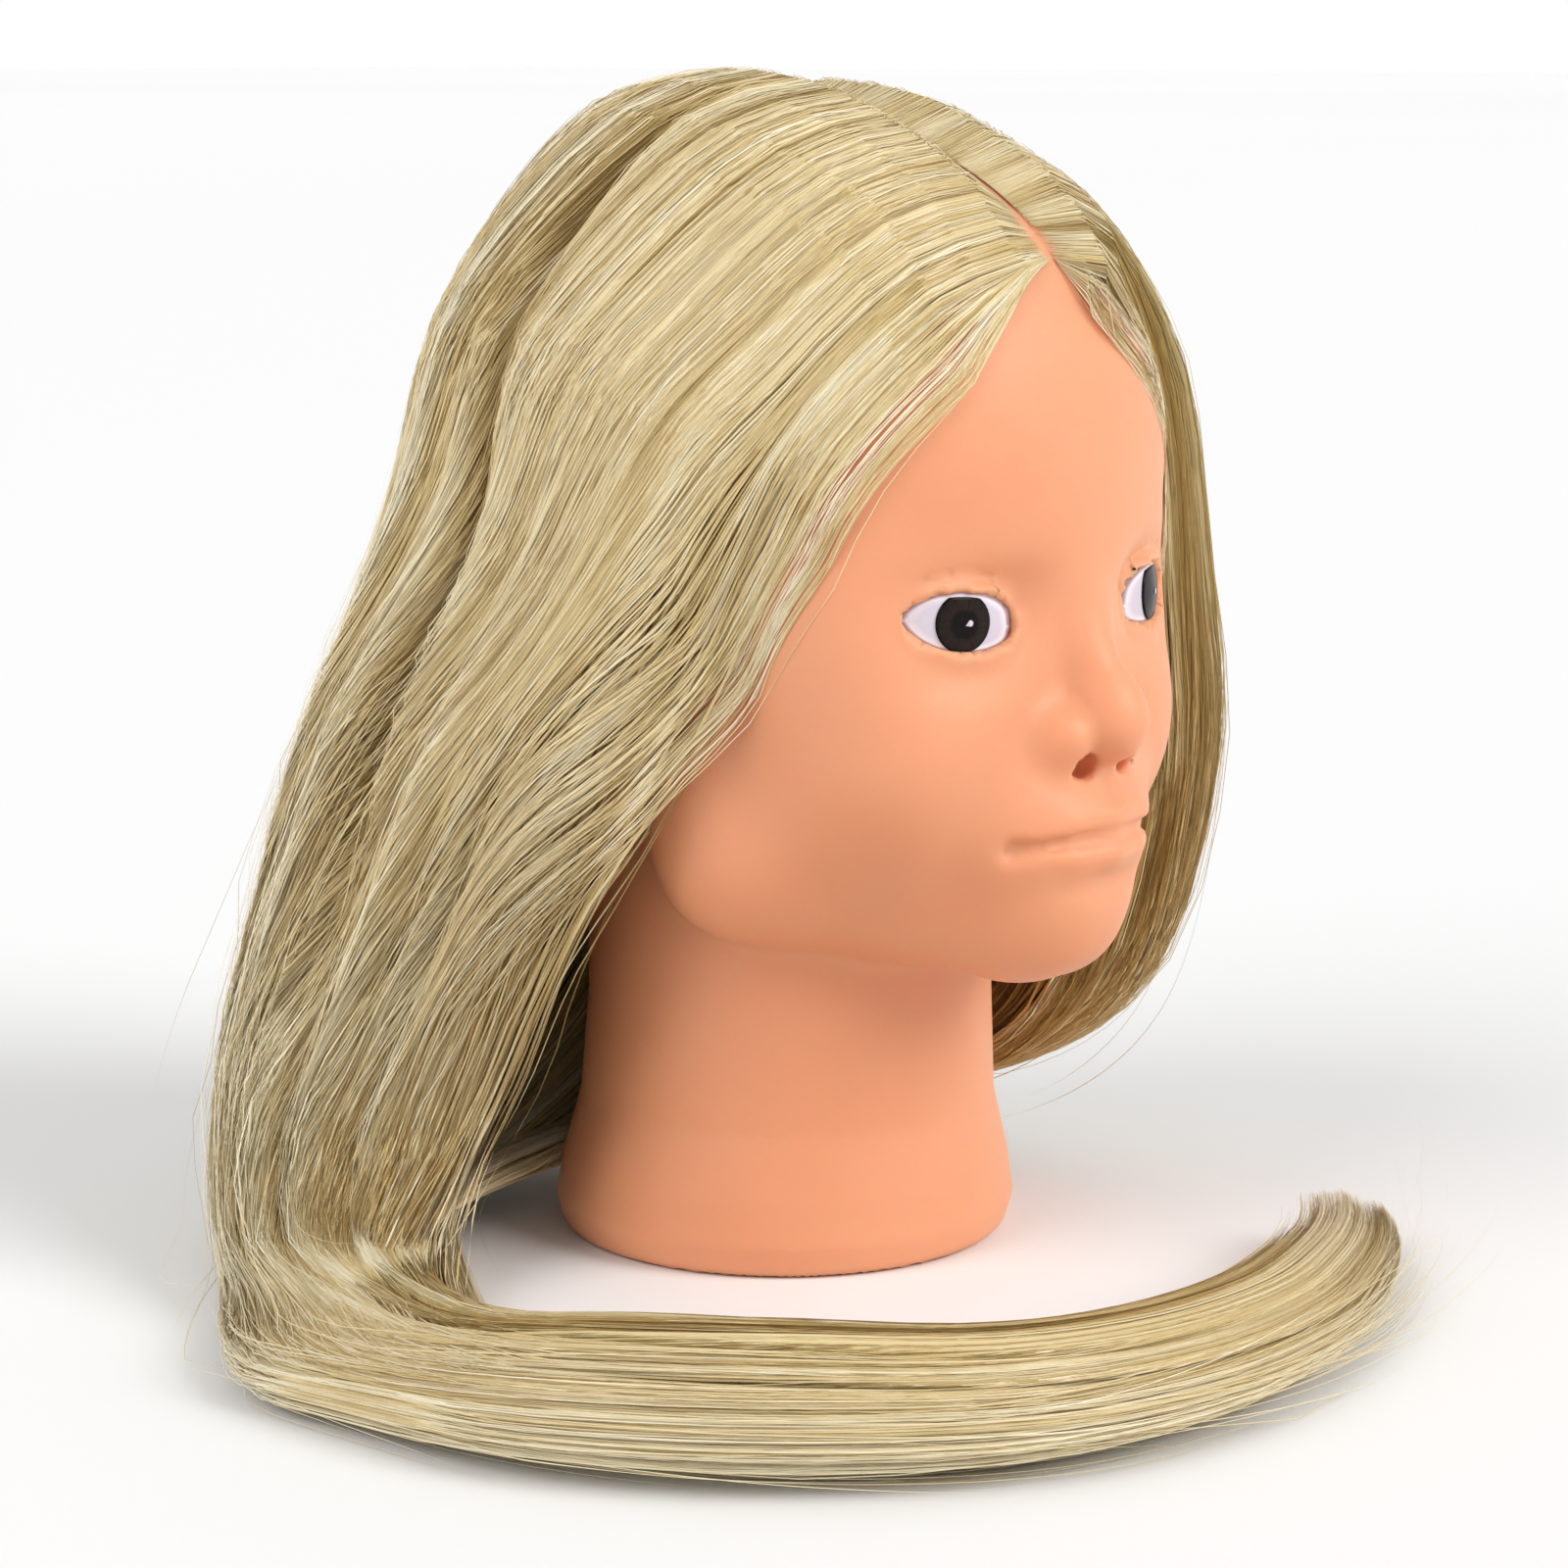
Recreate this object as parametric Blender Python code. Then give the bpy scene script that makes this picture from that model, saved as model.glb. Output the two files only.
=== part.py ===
"""Mannequin training head: vinyl skin on a foam core, neck plug with clamp socket, inset eyes, long hair.

Frame: +Z up, the face looks towards -Y, the head's own right side is -X. Lengths below are in millimetres
and are turned into metres when a mesh is made.
"""
import math

import bmesh
import bpy
import numpy as np

MM = 0.001

# --- driving dimensions, mm ---------------------------------------------------------------------------------
CRANIUM_CENTRE = (0.0, 1.0, 194.0)
CRANIUM_RADII = (74.0, 85.0, 79.0)
NECK_HEIGHTS = (-20.0, 0.0, 2.0, 8.0, 18.0, 34.0, 60.0, 130.0)
NECK_RADII = (52.0, 53.0, 55.0, 56.6, 55.0, 51.0, 49.5, 48.0)
WALL = 4.5
GAP = 0.3
FOAM_CLEARANCE = 3.0
DOME_START = 190.0

PLATE_RADIUS = 46.0
PLATE_THICKNESS = 6.3
PLATE_CHAMFER = 0.8
SOCKET_OUTER_RADIUS = 15.0
SOCKET_BORE_RADIUS = 10.5
SOCKET_LENGTH = 75.0
SOCKET_END_WALL = 3.0

EYE_CENTRE = (26.6, 58.0, 159.6)
EYE_RADIUS = 27.0
EYE_TURN = math.radians(21.4)
EYE_HALF_WIDTH = 15.0
EYE_UPPER_LID = 6.8
EYE_LOWER_LID = 6.0
EYE_SLANT = 3.6
EYE_WHITE_THICKNESS = 2.6
EYE_OPENING_DEPTH = 8.0
EYE_POCKET_DEPTH = 16.0
EYE_POCKET_MARGIN = 1.5
IRIS_RADIUS = 7.0
IRIS_THICKNESS = 0.7

EAR_CENTRE = (70.0, 8.0, 142.0)
EAR_RADII = (6.0, 15.0, 28.0)
EAR_TURN = math.radians(20.0)

HAIR_OFF_SKIN = 3.8
HAIR_TOP_THICKNESS = 9.0
PARTING_HALF_WIDTH = 2.5
CROWN_ANGLE = 76.0

# Ground directions of the lying hair: "along" runs from the head's back right to its front left.
SWEEP_ALONG = (0.643, -0.766)
SWEEP_OUT = (-0.766, -0.643)
# centre line (along, out), half width, height of the hair lying on the table
SWEEP_STATIONS = (
    (-94.7, 25.3, 36.0, 40.0),
    (-92.0, 78.0, 31.0, 35.0),
    (-74.0, 126.0, 28.0, 31.0),
    (-42.0, 160.0, 27.0, 28.0),
    (0.0, 179.0, 27.0, 26.0),
    (42.0, 175.0, 27.0, 24.0),
    (78.0, 150.0, 24.0, 21.0),
    (106.0, 114.0, 19.0, 17.0),
    (122.0, 74.0, 14.0, 12.0),
    (130.0, 42.0, 6.0, 6.0),
)
SWEEP_START_TURN = -125.0

# outer radius of the hair around the neck axis: rows are heights, columns are turns from the face
HAIR_TURNS = (40.0, 60.0, 75.0, 90.0, 110.0, 135.0, 160.0, 180.0, 200.0, 220.0, 245.0, 270.0, 300.0, 322.0)
HAIR_HEIGHTS = (0.0, 15.0, 40.0, 75.0, 110.0, 150.0, 190.0)
HAIR_RADII = (
    (80.0, 86.0, 90.0, 92.0, 93.0, 95.0, 103.0, 108.0, 117.0, 132.0, 112.0, 97.0, 86.0, 86.0),
    (80.0, 88.0, 93.0, 95.0, 95.0, 96.0, 104.0, 110.0, 119.0, 134.0, 115.0, 97.0, 86.0, 86.0),
    (90.0, 98.0, 103.0, 103.0, 100.0, 100.0, 106.0, 112.0, 120.0, 132.0, 112.0, 97.0, 86.0, 86.0),
    (98.0, 105.0, 109.0, 106.0, 103.0, 102.0, 107.0, 112.0, 118.0, 126.0, 108.0, 97.0, 86.0, 86.0),
    (100.0, 107.0, 108.0, 105.0, 103.0, 103.0, 106.0, 109.0, 113.0, 117.0, 107.0, 97.0, 87.0, 86.0),
    (103.0, 108.0, 106.0, 102.0, 100.0, 101.0, 102.0, 102.0, 103.0, 104.0, 101.0, 98.0, 88.0, 88.0),
    (101.0, 100.0, 96.0, 94.0, 94.0, 95.0, 96.0, 96.0, 96.0, 95.0, 94.0, 93.0, 90.0, 94.0),
)

# lower edge of the scalp hair: turn from the face, height
EDGE_TURNS = (0.0, 15.0, 30.0, 42.0, 52.0, 60.0, 300.0, 308.0, 318.0, 330.0, 345.0, 360.0)
EDGE_HEIGHTS = (228.0, 226.0, 218.0, 190.0, 150.0, 150.0, 150.0, 190.0, 214.0, 222.0, 226.0, 228.0)

COLUMN_TURNS = (
    -180, -160, -142, -126, -111, -97, -85, -74, -63, -53, -44, -36, -29, -22, -16, -10, -5,
    0, 5, 10, 16, 22, 29, 36, 44, 53, 63, 74, 85, 97, 111, 126, 142, 160,
)
ROW_LEVELS = (
    0.0, 2.0, 7.0, 14.0, 26.0, 42.0, 54.0, 60.0, 64.0, 68.0, 73.0, 79.0, 86.0, 93.0, 98.0, 102.0, 106.0, 110.0,
    115.0, 121.0, 126.0, 131.0, 137.0, 144.0, 152.0, 161.0, 171.0, 181.0,
    190.0, 199.0, 208.0, 217.0, 226.0, 235.0, 244.0, 253.0, 262.0, 271.0,
)
CORE_LEVELS = (18.0, 34.0, 52.0, 64.0, 76.0, 91.0, 112.0, 132.0, 152.0, 172.0, 190.0, 208.0, 226.0, 244.0, 262.0)
CORE_COLUMNS = 20


# --- signed distance of the head, mm, front is +Y of the field ---------------------------------------------
def blend_min(a, b, width):
    """Smooth union of two distances."""
    share = np.clip(0.5 + 0.5 * (b - a) / width, 0.0, 1.0)
    return b + (a - b) * share - width * share * (1.0 - share)


def blend_max(a, b, width):
    """Smooth intersection of two distances."""
    return -blend_min(-a, -b, width)


def egg(points, centre, radii):
    """Approximate distance to an ellipsoid."""
    offset = points - np.array(centre)
    radii = np.array(radii)
    outer = np.linalg.norm(offset / radii, axis=-1)
    inner = np.linalg.norm(offset / radii ** 2, axis=-1)
    return outer * (outer - 1.0) / np.maximum(inner, 1e-6)


def rod(points, start, end, start_radius, end_radius):
    """Distance to a tapered round rod."""
    start = np.array(start)
    along = np.array(end) - start
    share = np.clip(((points - start) @ along) / (along @ along), 0.0, 1.0)
    nearest = start + share[..., None] * along
    return np.linalg.norm(points - nearest, axis=-1) - (start_radius + (end_radius - start_radius) * share)


def neck_field(side, front, height):
    """Distance to the flared neck."""
    radius = np.interp(height, NECK_HEIGHTS, NECK_RADII)
    centre = np.interp(height, (0.0, 60.0, 100.0, 140.0), (0.0, 2.0, 1.0, -8.0))
    return np.hypot(side, front - centre) - radius


def skull_field(points):
    """Head and neck without the small features."""
    side, front, height = points[..., 0], points[..., 1], points[..., 2]
    field = egg(points, CRANIUM_CENTRE, CRANIUM_RADII)
    field = blend_min(field, egg(points, (0, 30, 142), (61, 61, 70)), 22.0)
    field = blend_min(field, egg(points, (0, 50, 190), (58, 41, 52)), 20.0)
    field = blend_min(field, rod(points, (9, 72, 92), (46, 27, 103), 18.5, 17), 14.0)
    field = blend_min(field, rod(points, (46, 27, 103), (56, 8, 142), 17, 15), 16.0)
    field = blend_min(field, egg(points, (0, 80, 89), (16, 15.5, 14.5)), 12.0)
    field = blend_min(field, egg(points, (33, 62, 130), (25, 23, 30)), 16.0)
    field = blend_min(field, egg(points, (42, 56, 160), (18, 19, 24)), 16.0)
    neck = blend_max(neck_field(side, front, height), height - 150.0, 10.0)
    return blend_min(field, neck, 10.0)


def face_field(points):
    """Skull plus mouth, nose and eye bulges."""
    field = skull_field(points)
    field = blend_min(field, egg(points, (0, 80, 110), (28, 20, 20)), 12.0)
    field = blend_min(field, rod(points, (0, 97, 112.6), (23, 86, 109.2), 3.2, 1.4), 4.0)
    field = blend_min(field, rod(points, (0, 96, 105.4), (22, 86, 107.6), 4.1, 1.4), 4.0)
    field = blend_min(field, rod(points, (0, 84, 164), (0, 94.5, 142), 6.5, 6.8), 8.0)
    field = blend_min(field, egg(points, (0, 98.3, 135.8), (8.2, 8.2, 8.2)), 7.0)
    field = blend_min(field, egg(points, (9.6, 91, 131.6), (6.0, 8.5, 6.4)), 3.5)
    return blend_min(field, egg(points, EYE_CENTRE, (EYE_RADIUS + 1.5,) * 3), 4.0)


def cleared_field(points):
    """Skull plus the room the ears take under the hair."""
    ear = egg(points, (71, 10, 142), (18, 25, 40))
    return blend_min(face_field(points), ear, 10.0)


def field_at(positions, field):
    """Evaluate a half-head field at world-oriented positions (front is -Y there)."""
    mirrored = np.stack([np.abs(positions[..., 0]), -positions[..., 1], positions[..., 2]], axis=-1)
    return field(mirrored)


# --- rays that sweep the head: level rays below the dome, fanned rays above --------------------------------
def ray(turn, level):
    """Origin and direction for a turn (degrees from the face) and a level (height, then degrees of dome)."""
    turn = np.radians(turn)
    lift = np.radians(np.maximum(level - DOME_START, 0.0))
    origin = np.stack([0.0 * turn, 0.0 * turn, np.minimum(level, DOME_START) + 0.0 * turn], axis=-1)
    flat = np.cos(lift)
    direction = np.stack([np.sin(turn) * flat, -np.cos(turn) * flat, np.sin(lift) + 0.0 * turn], axis=-1)
    return origin, direction


def reach(turn, level, field, offset):
    """Distance along each ray to the surface that lies `offset` outside a field."""
    origin, direction = ray(turn, level)
    near = np.full(turn.shape, 5.0)
    far = np.full(turn.shape, 140.0)
    for _ in range(30):
        middle = 0.5 * (near + far)
        inside = field_at(origin + middle[..., None] * direction, field) < offset
        near = np.where(inside, middle, near)
        far = np.where(inside, far, middle)
    return 0.5 * (near + far)


def on_rays(turn, level, distance):
    """Points at a distance along the rays."""
    origin, direction = ray(turn, level)
    return origin + distance[..., None] * direction


def hair_radius(turn, height):
    """Outer radius of the hanging hair."""
    turn = np.mod(turn, 360.0)
    rows = np.stack([np.interp(turn, HAIR_TURNS, row) for row in HAIR_RADII], axis=-1)
    place = np.interp(height, HAIR_HEIGHTS, np.arange(len(HAIR_HEIGHTS)))
    lower = np.minimum(place.astype(int), len(HAIR_HEIGHTS) - 2)
    share = place - lower
    low = np.take_along_axis(rows, lower[..., None], axis=-1)[..., 0]
    high = np.take_along_axis(rows, lower[..., None] + 1, axis=-1)[..., 0]
    return low + (high - low) * share


def hair_layers(turn, level):
    """Inner and outer points of the hair on the rays."""
    inner = reach(turn, level, cleared_field, HAIR_OFF_SKIN)
    shoulder = np.minimum(level, DOME_START)
    side = hair_radius(turn, shoulder)
    side_inner = np.where(level > DOME_START, reach(turn, shoulder, cleared_field, HAIR_OFF_SKIN), inner)
    lift = np.clip((level - DOME_START) / 90.0, 0.0, 1.0)
    thickness = (side - side_inner) * (1.0 - lift) + HAIR_TOP_THICKNESS * lift
    return on_rays(turn, level, inner), on_rays(turn, level, inner + np.maximum(thickness, 4.0))


# --- meshes -----------------------------------------------------------------------------------------------
def add_object(name, vertices, faces, material):
    """Closed mesh object in metres, faces turned outward, shaded smooth."""
    mesh = bpy.data.meshes.new(name)
    mesh.from_pydata((np.asarray(vertices) * MM).tolist(), [], faces)
    work = bmesh.new()
    work.from_mesh(mesh)
    bmesh.ops.recalc_face_normals(work, faces=work.faces[:])
    if work.calc_volume(signed=True) < 0.0:
        bmesh.ops.reverse_faces(work, faces=work.faces[:])
    work.to_mesh(mesh)
    work.free()
    mesh.shade_smooth()
    mesh.set_sharp_from_angle(angle=math.radians(40.0))
    made = bpy.data.objects.new(name, mesh)
    bpy.context.scene.collection.objects.link(made)
    if material is not None:
        mesh.materials.append(material)
    return made


def stacked_rings(name, rings, top, material, bottom=None):
    """Closed body from rings of equal length, a top point and a flat or pointed bottom."""
    count = len(rings[0])
    vertices = [tuple(point) for loop in rings for point in loop]
    faces = []
    for row in range(len(rings) - 1):
        for column in range(count):
            after = (column + 1) % count
            start = row * count
            faces.append((start + column, start + after, start + count + after))
            faces.append((start + column, start + count + after, start + count + column))
    last = (len(rings) - 1) * count
    vertices.append(tuple(top))
    for column in range(count):
        faces.append((last + column, last + (column + 1) % count, len(vertices) - 1))
    if bottom is None:
        faces.append(tuple(range(count))[::-1])
    else:
        vertices.append(tuple(bottom))
        for column in range(count):
            faces.append(((column + 1) % count, column, len(vertices) - 1))
    return add_object(name, vertices, faces, material)


def slab(name, inner, outer, material):
    """Closed curved slab between two point grids."""
    rows, columns = inner.shape[:2]
    vertices = np.concatenate([inner.reshape(-1, 3), outer.reshape(-1, 3)])
    lift = rows * columns
    faces = []
    for row in range(rows - 1):
        for column in range(columns - 1):
            corner = row * columns + column
            loop = (corner, corner + 1, corner + columns + 1, corner + columns)
            faces.append(loop)
            faces.append(tuple(index + lift for index in reversed(loop)))
    rim = [column for column in range(columns)]
    rim += [row * columns + columns - 1 for row in range(1, rows)]
    rim += [(rows - 1) * columns + column for column in range(columns - 2, -1, -1)]
    rim += [row * columns for row in range(rows - 2, 0, -1)]
    for here, after in zip(rim, rim[1:] + rim[:1]):
        faces.append((after, here, here + lift, after + lift))
    return add_object(name, vertices, faces, material)


def lathe(name, profile, segments, material, closed_ring):
    """Turned body: a profile of (radius, height); end points on the axis unless it is a closed ring."""
    body = profile if closed_ring else profile[1:-1]
    vertices = []
    for radius, height in body:
        for step in range(segments):
            angle = 2.0 * math.pi * step / segments
            vertices.append((radius * math.cos(angle), radius * math.sin(angle), height))
    faces = []
    spans = len(body) if closed_ring else len(body) - 1
    for row in range(spans):
        below = row * segments
        above = ((row + 1) % len(body)) * segments
        for step in range(segments):
            after = (step + 1) % segments
            faces.append((below + step, below + after, above + after, above + step))
    if not closed_ring:
        for row, (_, height) in ((0, profile[0]), (len(body) - 1, profile[-1])):
            vertices.append((0.0, 0.0, height))
            for step in range(segments):
                faces.append((row * segments + step, row * segments + (step + 1) % segments, len(vertices) - 1))
    return add_object(name, vertices, faces, material)


def material(name, colour, roughness, metallic=0.0):
    """Plain Principled material."""
    made = bpy.data.materials.new(name)
    made.use_nodes = True
    shader = made.node_tree.nodes["Principled BSDF"]
    shader.inputs["Base Color"].default_value = (*colour, 1.0)
    shader.inputs["Roughness"].default_value = roughness
    shader.inputs["Metallic"].default_value = metallic
    made.diffuse_color = (*colour, 1.0)
    return made


def as_cutter(made):
    """Keep a helper body out of renders."""
    made.hide_render = True
    made.display_type = "WIRE"
    return made


def boolean(target, helper, operation):
    """Exact Boolean kept on the target."""
    step = target.modifiers.new(helper.name, "BOOLEAN")
    step.operation = operation
    step.solver = "EXACT"
    step.object = helper
    return step


# --- sub-parts ----------------------------------------------------------------------------------------------
def head_rings(turns, levels, field, offset, inset=0.0):
    """Rings of points on a field's surface, drawn in along the rays by `inset`."""
    turns = np.array(turns, float)
    rings = []
    for level in levels:
        levels_here = np.full(turns.shape, float(level))
        rings.append(on_rays(turns, levels_here, reach(turns, levels_here, field, offset) - inset))
    return rings


def dome_top(field, offset, inset=0.0):
    """Point straight above the dome's centre."""
    turn = np.array([0.0])
    level = np.array([DOME_START + 90.0])
    return on_rays(turn, level, reach(turn, level, field, offset) - inset)[0]


def core_turns():
    """Even turns of the cavity and the foam."""
    return np.arange(CORE_COLUMNS) * (360.0 / CORE_COLUMNS)


def round_ring(radius, height):
    """Level circle with the cavity's column count."""
    turns = np.radians(core_turns())
    flat = np.full(turns.shape, height)
    return np.stack([radius * np.sin(turns), -radius * np.cos(turns), flat], axis=-1)


def make_cavity():
    """Helper that hollows the skin and opens it downward."""
    radius = (PLATE_RADIUS + GAP) / math.cos(math.pi / CORE_COLUMNS)
    rings = [round_ring(radius, -3.0), round_ring(radius, PLATE_THICKNESS + GAP)]
    rings += head_rings(core_turns(), CORE_LEVELS, skull_field, -WALL)
    return as_cutter(stacked_rings("cavity_cutter", rings, dome_top(skull_field, -WALL), None))


def make_foam_core(finish):
    """Foam fill with a bore for the socket."""
    rings = [round_ring(PLATE_RADIUS - FOAM_CLEARANCE, PLATE_THICKNESS + 2.0 * GAP)]
    rings += head_rings(core_turns(), CORE_LEVELS, skull_field, -WALL, FOAM_CLEARANCE)
    core = stacked_rings("foam_core", rings, dome_top(skull_field, -WALL, FOAM_CLEARANCE), finish)
    radius = SOCKET_OUTER_RADIUS + GAP
    profile = [(0.0, -4.0), (radius, -4.0), (radius, SOCKET_LENGTH + GAP), (0.0, SOCKET_LENGTH + GAP)]
    bore = as_cutter(lathe("core_bore_cutter", profile, 24, None, False))
    boolean(core, bore, "DIFFERENCE")
    boolean(core, eye_cutter("right_pocket_cutter", -1.0, EYE_POCKET_MARGIN, EYE_POCKET_DEPTH), "DIFFERENCE")
    boolean(core, eye_cutter("left_pocket_cutter", 1.0, EYE_POCKET_MARGIN, EYE_POCKET_DEPTH), "DIFFERENCE")
    return core


def ear_helper(name, side):
    """Flattened ear body that is joined to the skin."""
    centre = np.array((side * EAR_CENTRE[0], -EAR_CENTRE[1], EAR_CENTRE[2]))
    turn = -side * EAR_TURN
    rings = []
    for row in range(1, 9):
        polar = math.pi * row / 9.0
        ring = []
        for column in range(14):
            around = 2.0 * math.pi * column / 14.0
            narrow = 1.0 - 0.25 * (1.0 - math.cos(polar)) / 2.0
            thick = EAR_RADII[0] * math.sin(polar) * math.cos(around)
            deep = EAR_RADII[1] * narrow * math.sin(polar) * math.sin(around)
            tall = -EAR_RADII[2] * math.cos(polar)
            lean = -0.12 * tall
            across = thick * math.cos(turn) - (deep + lean) * math.sin(turn)
            along = thick * math.sin(turn) + (deep + lean) * math.cos(turn)
            ring.append(centre + np.array((across, along, tall)))
        rings.append(ring)
    top = centre + np.array((0.0, -0.12 * EAR_RADII[2], EAR_RADII[2]))
    bottom = centre + np.array((0.0, 0.12 * EAR_RADII[2], -EAR_RADII[2]))
    return as_cutter(stacked_rings(name, rings, top, None, bottom))


def eye_outline(grow):
    """Almond outline around the eye's own axis: (outward, up) pairs."""
    pairs = []
    for step in range(24):
        angle = 2.0 * math.pi * step / 24.0
        across = (EYE_HALF_WIDTH + grow) * math.cos(angle)
        lid = EYE_UPPER_LID if math.sin(angle) > 0.0 else EYE_LOWER_LID
        height = (lid + grow) * math.sin(angle) * abs(math.sin(angle)) ** 0.15
        pairs.append((across, height + EYE_SLANT * 0.5 * across / EYE_HALF_WIDTH))
    return pairs


def iris_outline():
    """Round iris cut by the lids."""
    pairs = []
    for step in range(24):
        angle = 2.0 * math.pi * step / 24.0
        across = IRIS_RADIUS * math.cos(angle)
        height = IRIS_RADIUS * math.sin(angle)
        pairs.append((across, max(min(height, EYE_UPPER_LID - 1.0), 1.0 - EYE_LOWER_LID)))
    return pairs


def eye_point(side, across, up, depth):
    """World position from the eye's own axes."""
    outward = np.array((math.cos(EYE_TURN), math.sin(EYE_TURN), 0.0))
    forward = np.array((math.sin(EYE_TURN), -math.cos(EYE_TURN), 0.0))
    centre = np.array((EYE_CENTRE[0], -EYE_CENTRE[1], EYE_CENTRE[2]))
    point = centre + across * outward + depth * forward + np.array((0.0, 0.0, up))
    return np.array((side * point[0], point[1], point[2]))


def eye_lens(name, side, outline, front, back, finish):
    """Curved lens between two spheres around the eye's centre."""
    rings = []
    for sphere, shares in ((back, (0.5, 1.0)), (front, (1.0, 0.75, 0.4))):
        for share in shares:
            ring = []
            for across, up in outline:
                across, up = across * share, up * share
                depth = math.sqrt(sphere ** 2 - across ** 2 - up ** 2)
                ring.append(eye_point(side, across, up, depth))
            rings.append(ring)
    top = eye_point(side, 0.0, 0.0, front)
    return stacked_rings(name, rings, top, finish, eye_point(side, 0.0, 0.0, back))


def eye_cutter(name, side, grow, back):
    """Straight almond opening from a depth outward."""
    outline = eye_outline(grow)
    rings = [[eye_point(side, across, up, depth) for across, up in outline] for depth in (back, 45.0)]
    return as_cutter(stacked_rings(name, rings, eye_point(side, 0.0, 0.0, 45.0), None))


def make_head_shell(finish):
    """Skin with ears, cavity and eye openings."""
    rings = head_rings(COLUMN_TURNS, ROW_LEVELS, face_field, 0.0)
    shell = stacked_rings("head_shell", rings, dome_top(face_field, 0.0), finish)
    boolean(shell, ear_helper("ear_right_helper", -1.0), "UNION")
    boolean(shell, ear_helper("ear_left_helper", 1.0), "UNION")
    boolean(shell, make_cavity(), "DIFFERENCE")
    boolean(shell, eye_cutter("eye_right_cutter", -1.0, GAP, EYE_OPENING_DEPTH), "DIFFERENCE")
    boolean(shell, eye_cutter("eye_left_cutter", 1.0, GAP, EYE_OPENING_DEPTH), "DIFFERENCE")
    return shell


def make_eyes(white, dark):
    """White inserts with dark irises in front."""
    made = []
    for side, word in ((-1.0, "right"), (1.0, "left")):
        back = EYE_RADIUS - EYE_WHITE_THICKNESS
        made.append(eye_lens("eye_white_" + word, side, eye_outline(0.0), EYE_RADIUS, back, white))
        iris_back = EYE_RADIUS + GAP
        iris_front = iris_back + IRIS_THICKNESS
        made.append(eye_lens("iris_" + word, side, iris_outline(), iris_front, iris_back, dark))
    return made


def make_base_plate(finish):
    """Disc in the neck opening with a hole for the socket."""
    hole = SOCKET_OUTER_RADIUS + GAP
    profile = [
        (hole, 0.0),
        (PLATE_RADIUS - PLATE_CHAMFER, 0.0),
        (PLATE_RADIUS, PLATE_CHAMFER),
        (PLATE_RADIUS, PLATE_THICKNESS),
        (hole, PLATE_THICKNESS),
    ]
    return lathe("neck_base_plate", profile, 40, finish, True)


def make_clamp_socket(finish):
    """Blind tube for the spigot of a table clamp."""
    inner_end = SOCKET_LENGTH - SOCKET_END_WALL
    profile = [
        (0.0, SOCKET_LENGTH),
        (SOCKET_OUTER_RADIUS, SOCKET_LENGTH),
        (SOCKET_OUTER_RADIUS, 0.0),
        (SOCKET_BORE_RADIUS, 0.0),
        (SOCKET_BORE_RADIUS, inner_end),
        (0.0, inner_end),
    ]
    return lathe("clamp_socket", profile, 24, finish, False)


def hair_lock(name, turns, low, high, row_count, finish):
    """Hair slab over a span of turns; `low` and `high` give its levels for each turn."""
    turns = np.array(turns, float)
    shares = np.linspace(0.0, 1.0, row_count)[:, None]
    bottom = np.array([low(turn) for turn in turns])
    top = np.array([high(turn) for turn in turns])
    levels = bottom + (top - bottom) * shares
    grid = np.broadcast_to(turns, levels.shape)
    inner, outer = hair_layers(grid, levels)
    return slab(name, inner, outer, finish)


def edge_level(turn):
    """Level of the scalp hair's lower edge."""
    return float(np.interp(turn % 360.0, EDGE_TURNS, EDGE_HEIGHTS))


def parted(start, stop, count):
    """Turns from start to stop with a small clearance at both ends."""
    clearance = 0.2
    return np.linspace(start + clearance, stop - clearance, count)


def make_crown(finish):
    """Round lock behind the parting at the top of the head."""
    turns = core_turns()
    outer_rings = []
    inner_rings = []
    for level in (DOME_START + CROWN_ANGLE + 0.6, DOME_START + 83.0):
        levels = np.full(turns.shape, level)
        inner, outer = hair_layers(turns, levels)
        inner_rings.append(inner)
        outer_rings.append(outer)
    pole = np.array([0.0])
    inner_top, outer_top = hair_layers(pole, np.array([DOME_START + 90.0]))
    rings = [inner_rings[1], inner_rings[0], outer_rings[0], outer_rings[1]]
    return stacked_rings("hair_crown", rings, outer_top[0], finish, inner_top[0])


def make_scalp_hair(finish):
    """Locks from the crown down to ear height."""
    top = DOME_START + CROWN_ANGLE
    spans = (
        ("hair_front_left", 3.0, 50.0, 6),
        ("hair_side_left", 50.0, 115.0, 10),
        ("hair_back_left", 115.0, 180.0, 6),
        ("hair_back_right", 180.0, 245.0, 6),
        ("hair_side_right", 245.0, 310.0, 10),
        ("hair_front_right", 310.0, 357.0, 6),
    )
    for name, start, stop, columns in spans:
        hair_lock(name, parted(start, stop, columns), edge_level, lambda turn: top, 10, finish)


def fall_low(turn):
    """Lower edge of the hanging hair: it slants back from both cheeks to the table."""
    turns = (48.0, 60.0, 75.0, 90.0, 110.0, 140.0, 234.9, 235.1, 245.0, 260.0, 275.0, 291.0)
    heights = (120.0, 88.0, 52.0, 34.0, 22.0, 0.0, 0.0, 44.0, 56.0, 80.0, 106.0, 128.0)
    return float(np.interp(turn % 360.0, turns, heights))


def make_falls(finish):
    """Locks hanging from ear height to the table."""
    top = 150.0 - 2.0 * GAP
    spans = (
        ("hair_fall_left", 52.0, 95.0, 7),
        ("hair_fall_left_back", 95.0, 140.0, 5),
        ("hair_fall_back", 140.0, 190.0, 5),
        ("hair_fall_right_back", 190.0, 235.0, 5),
        ("hair_fall_right", 235.0, 291.0, 6),
    )
    for name, start, stop, columns in spans:
        hair_lock(name, parted(start, stop, columns), fall_low, lambda turn: top, 11, finish)


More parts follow.
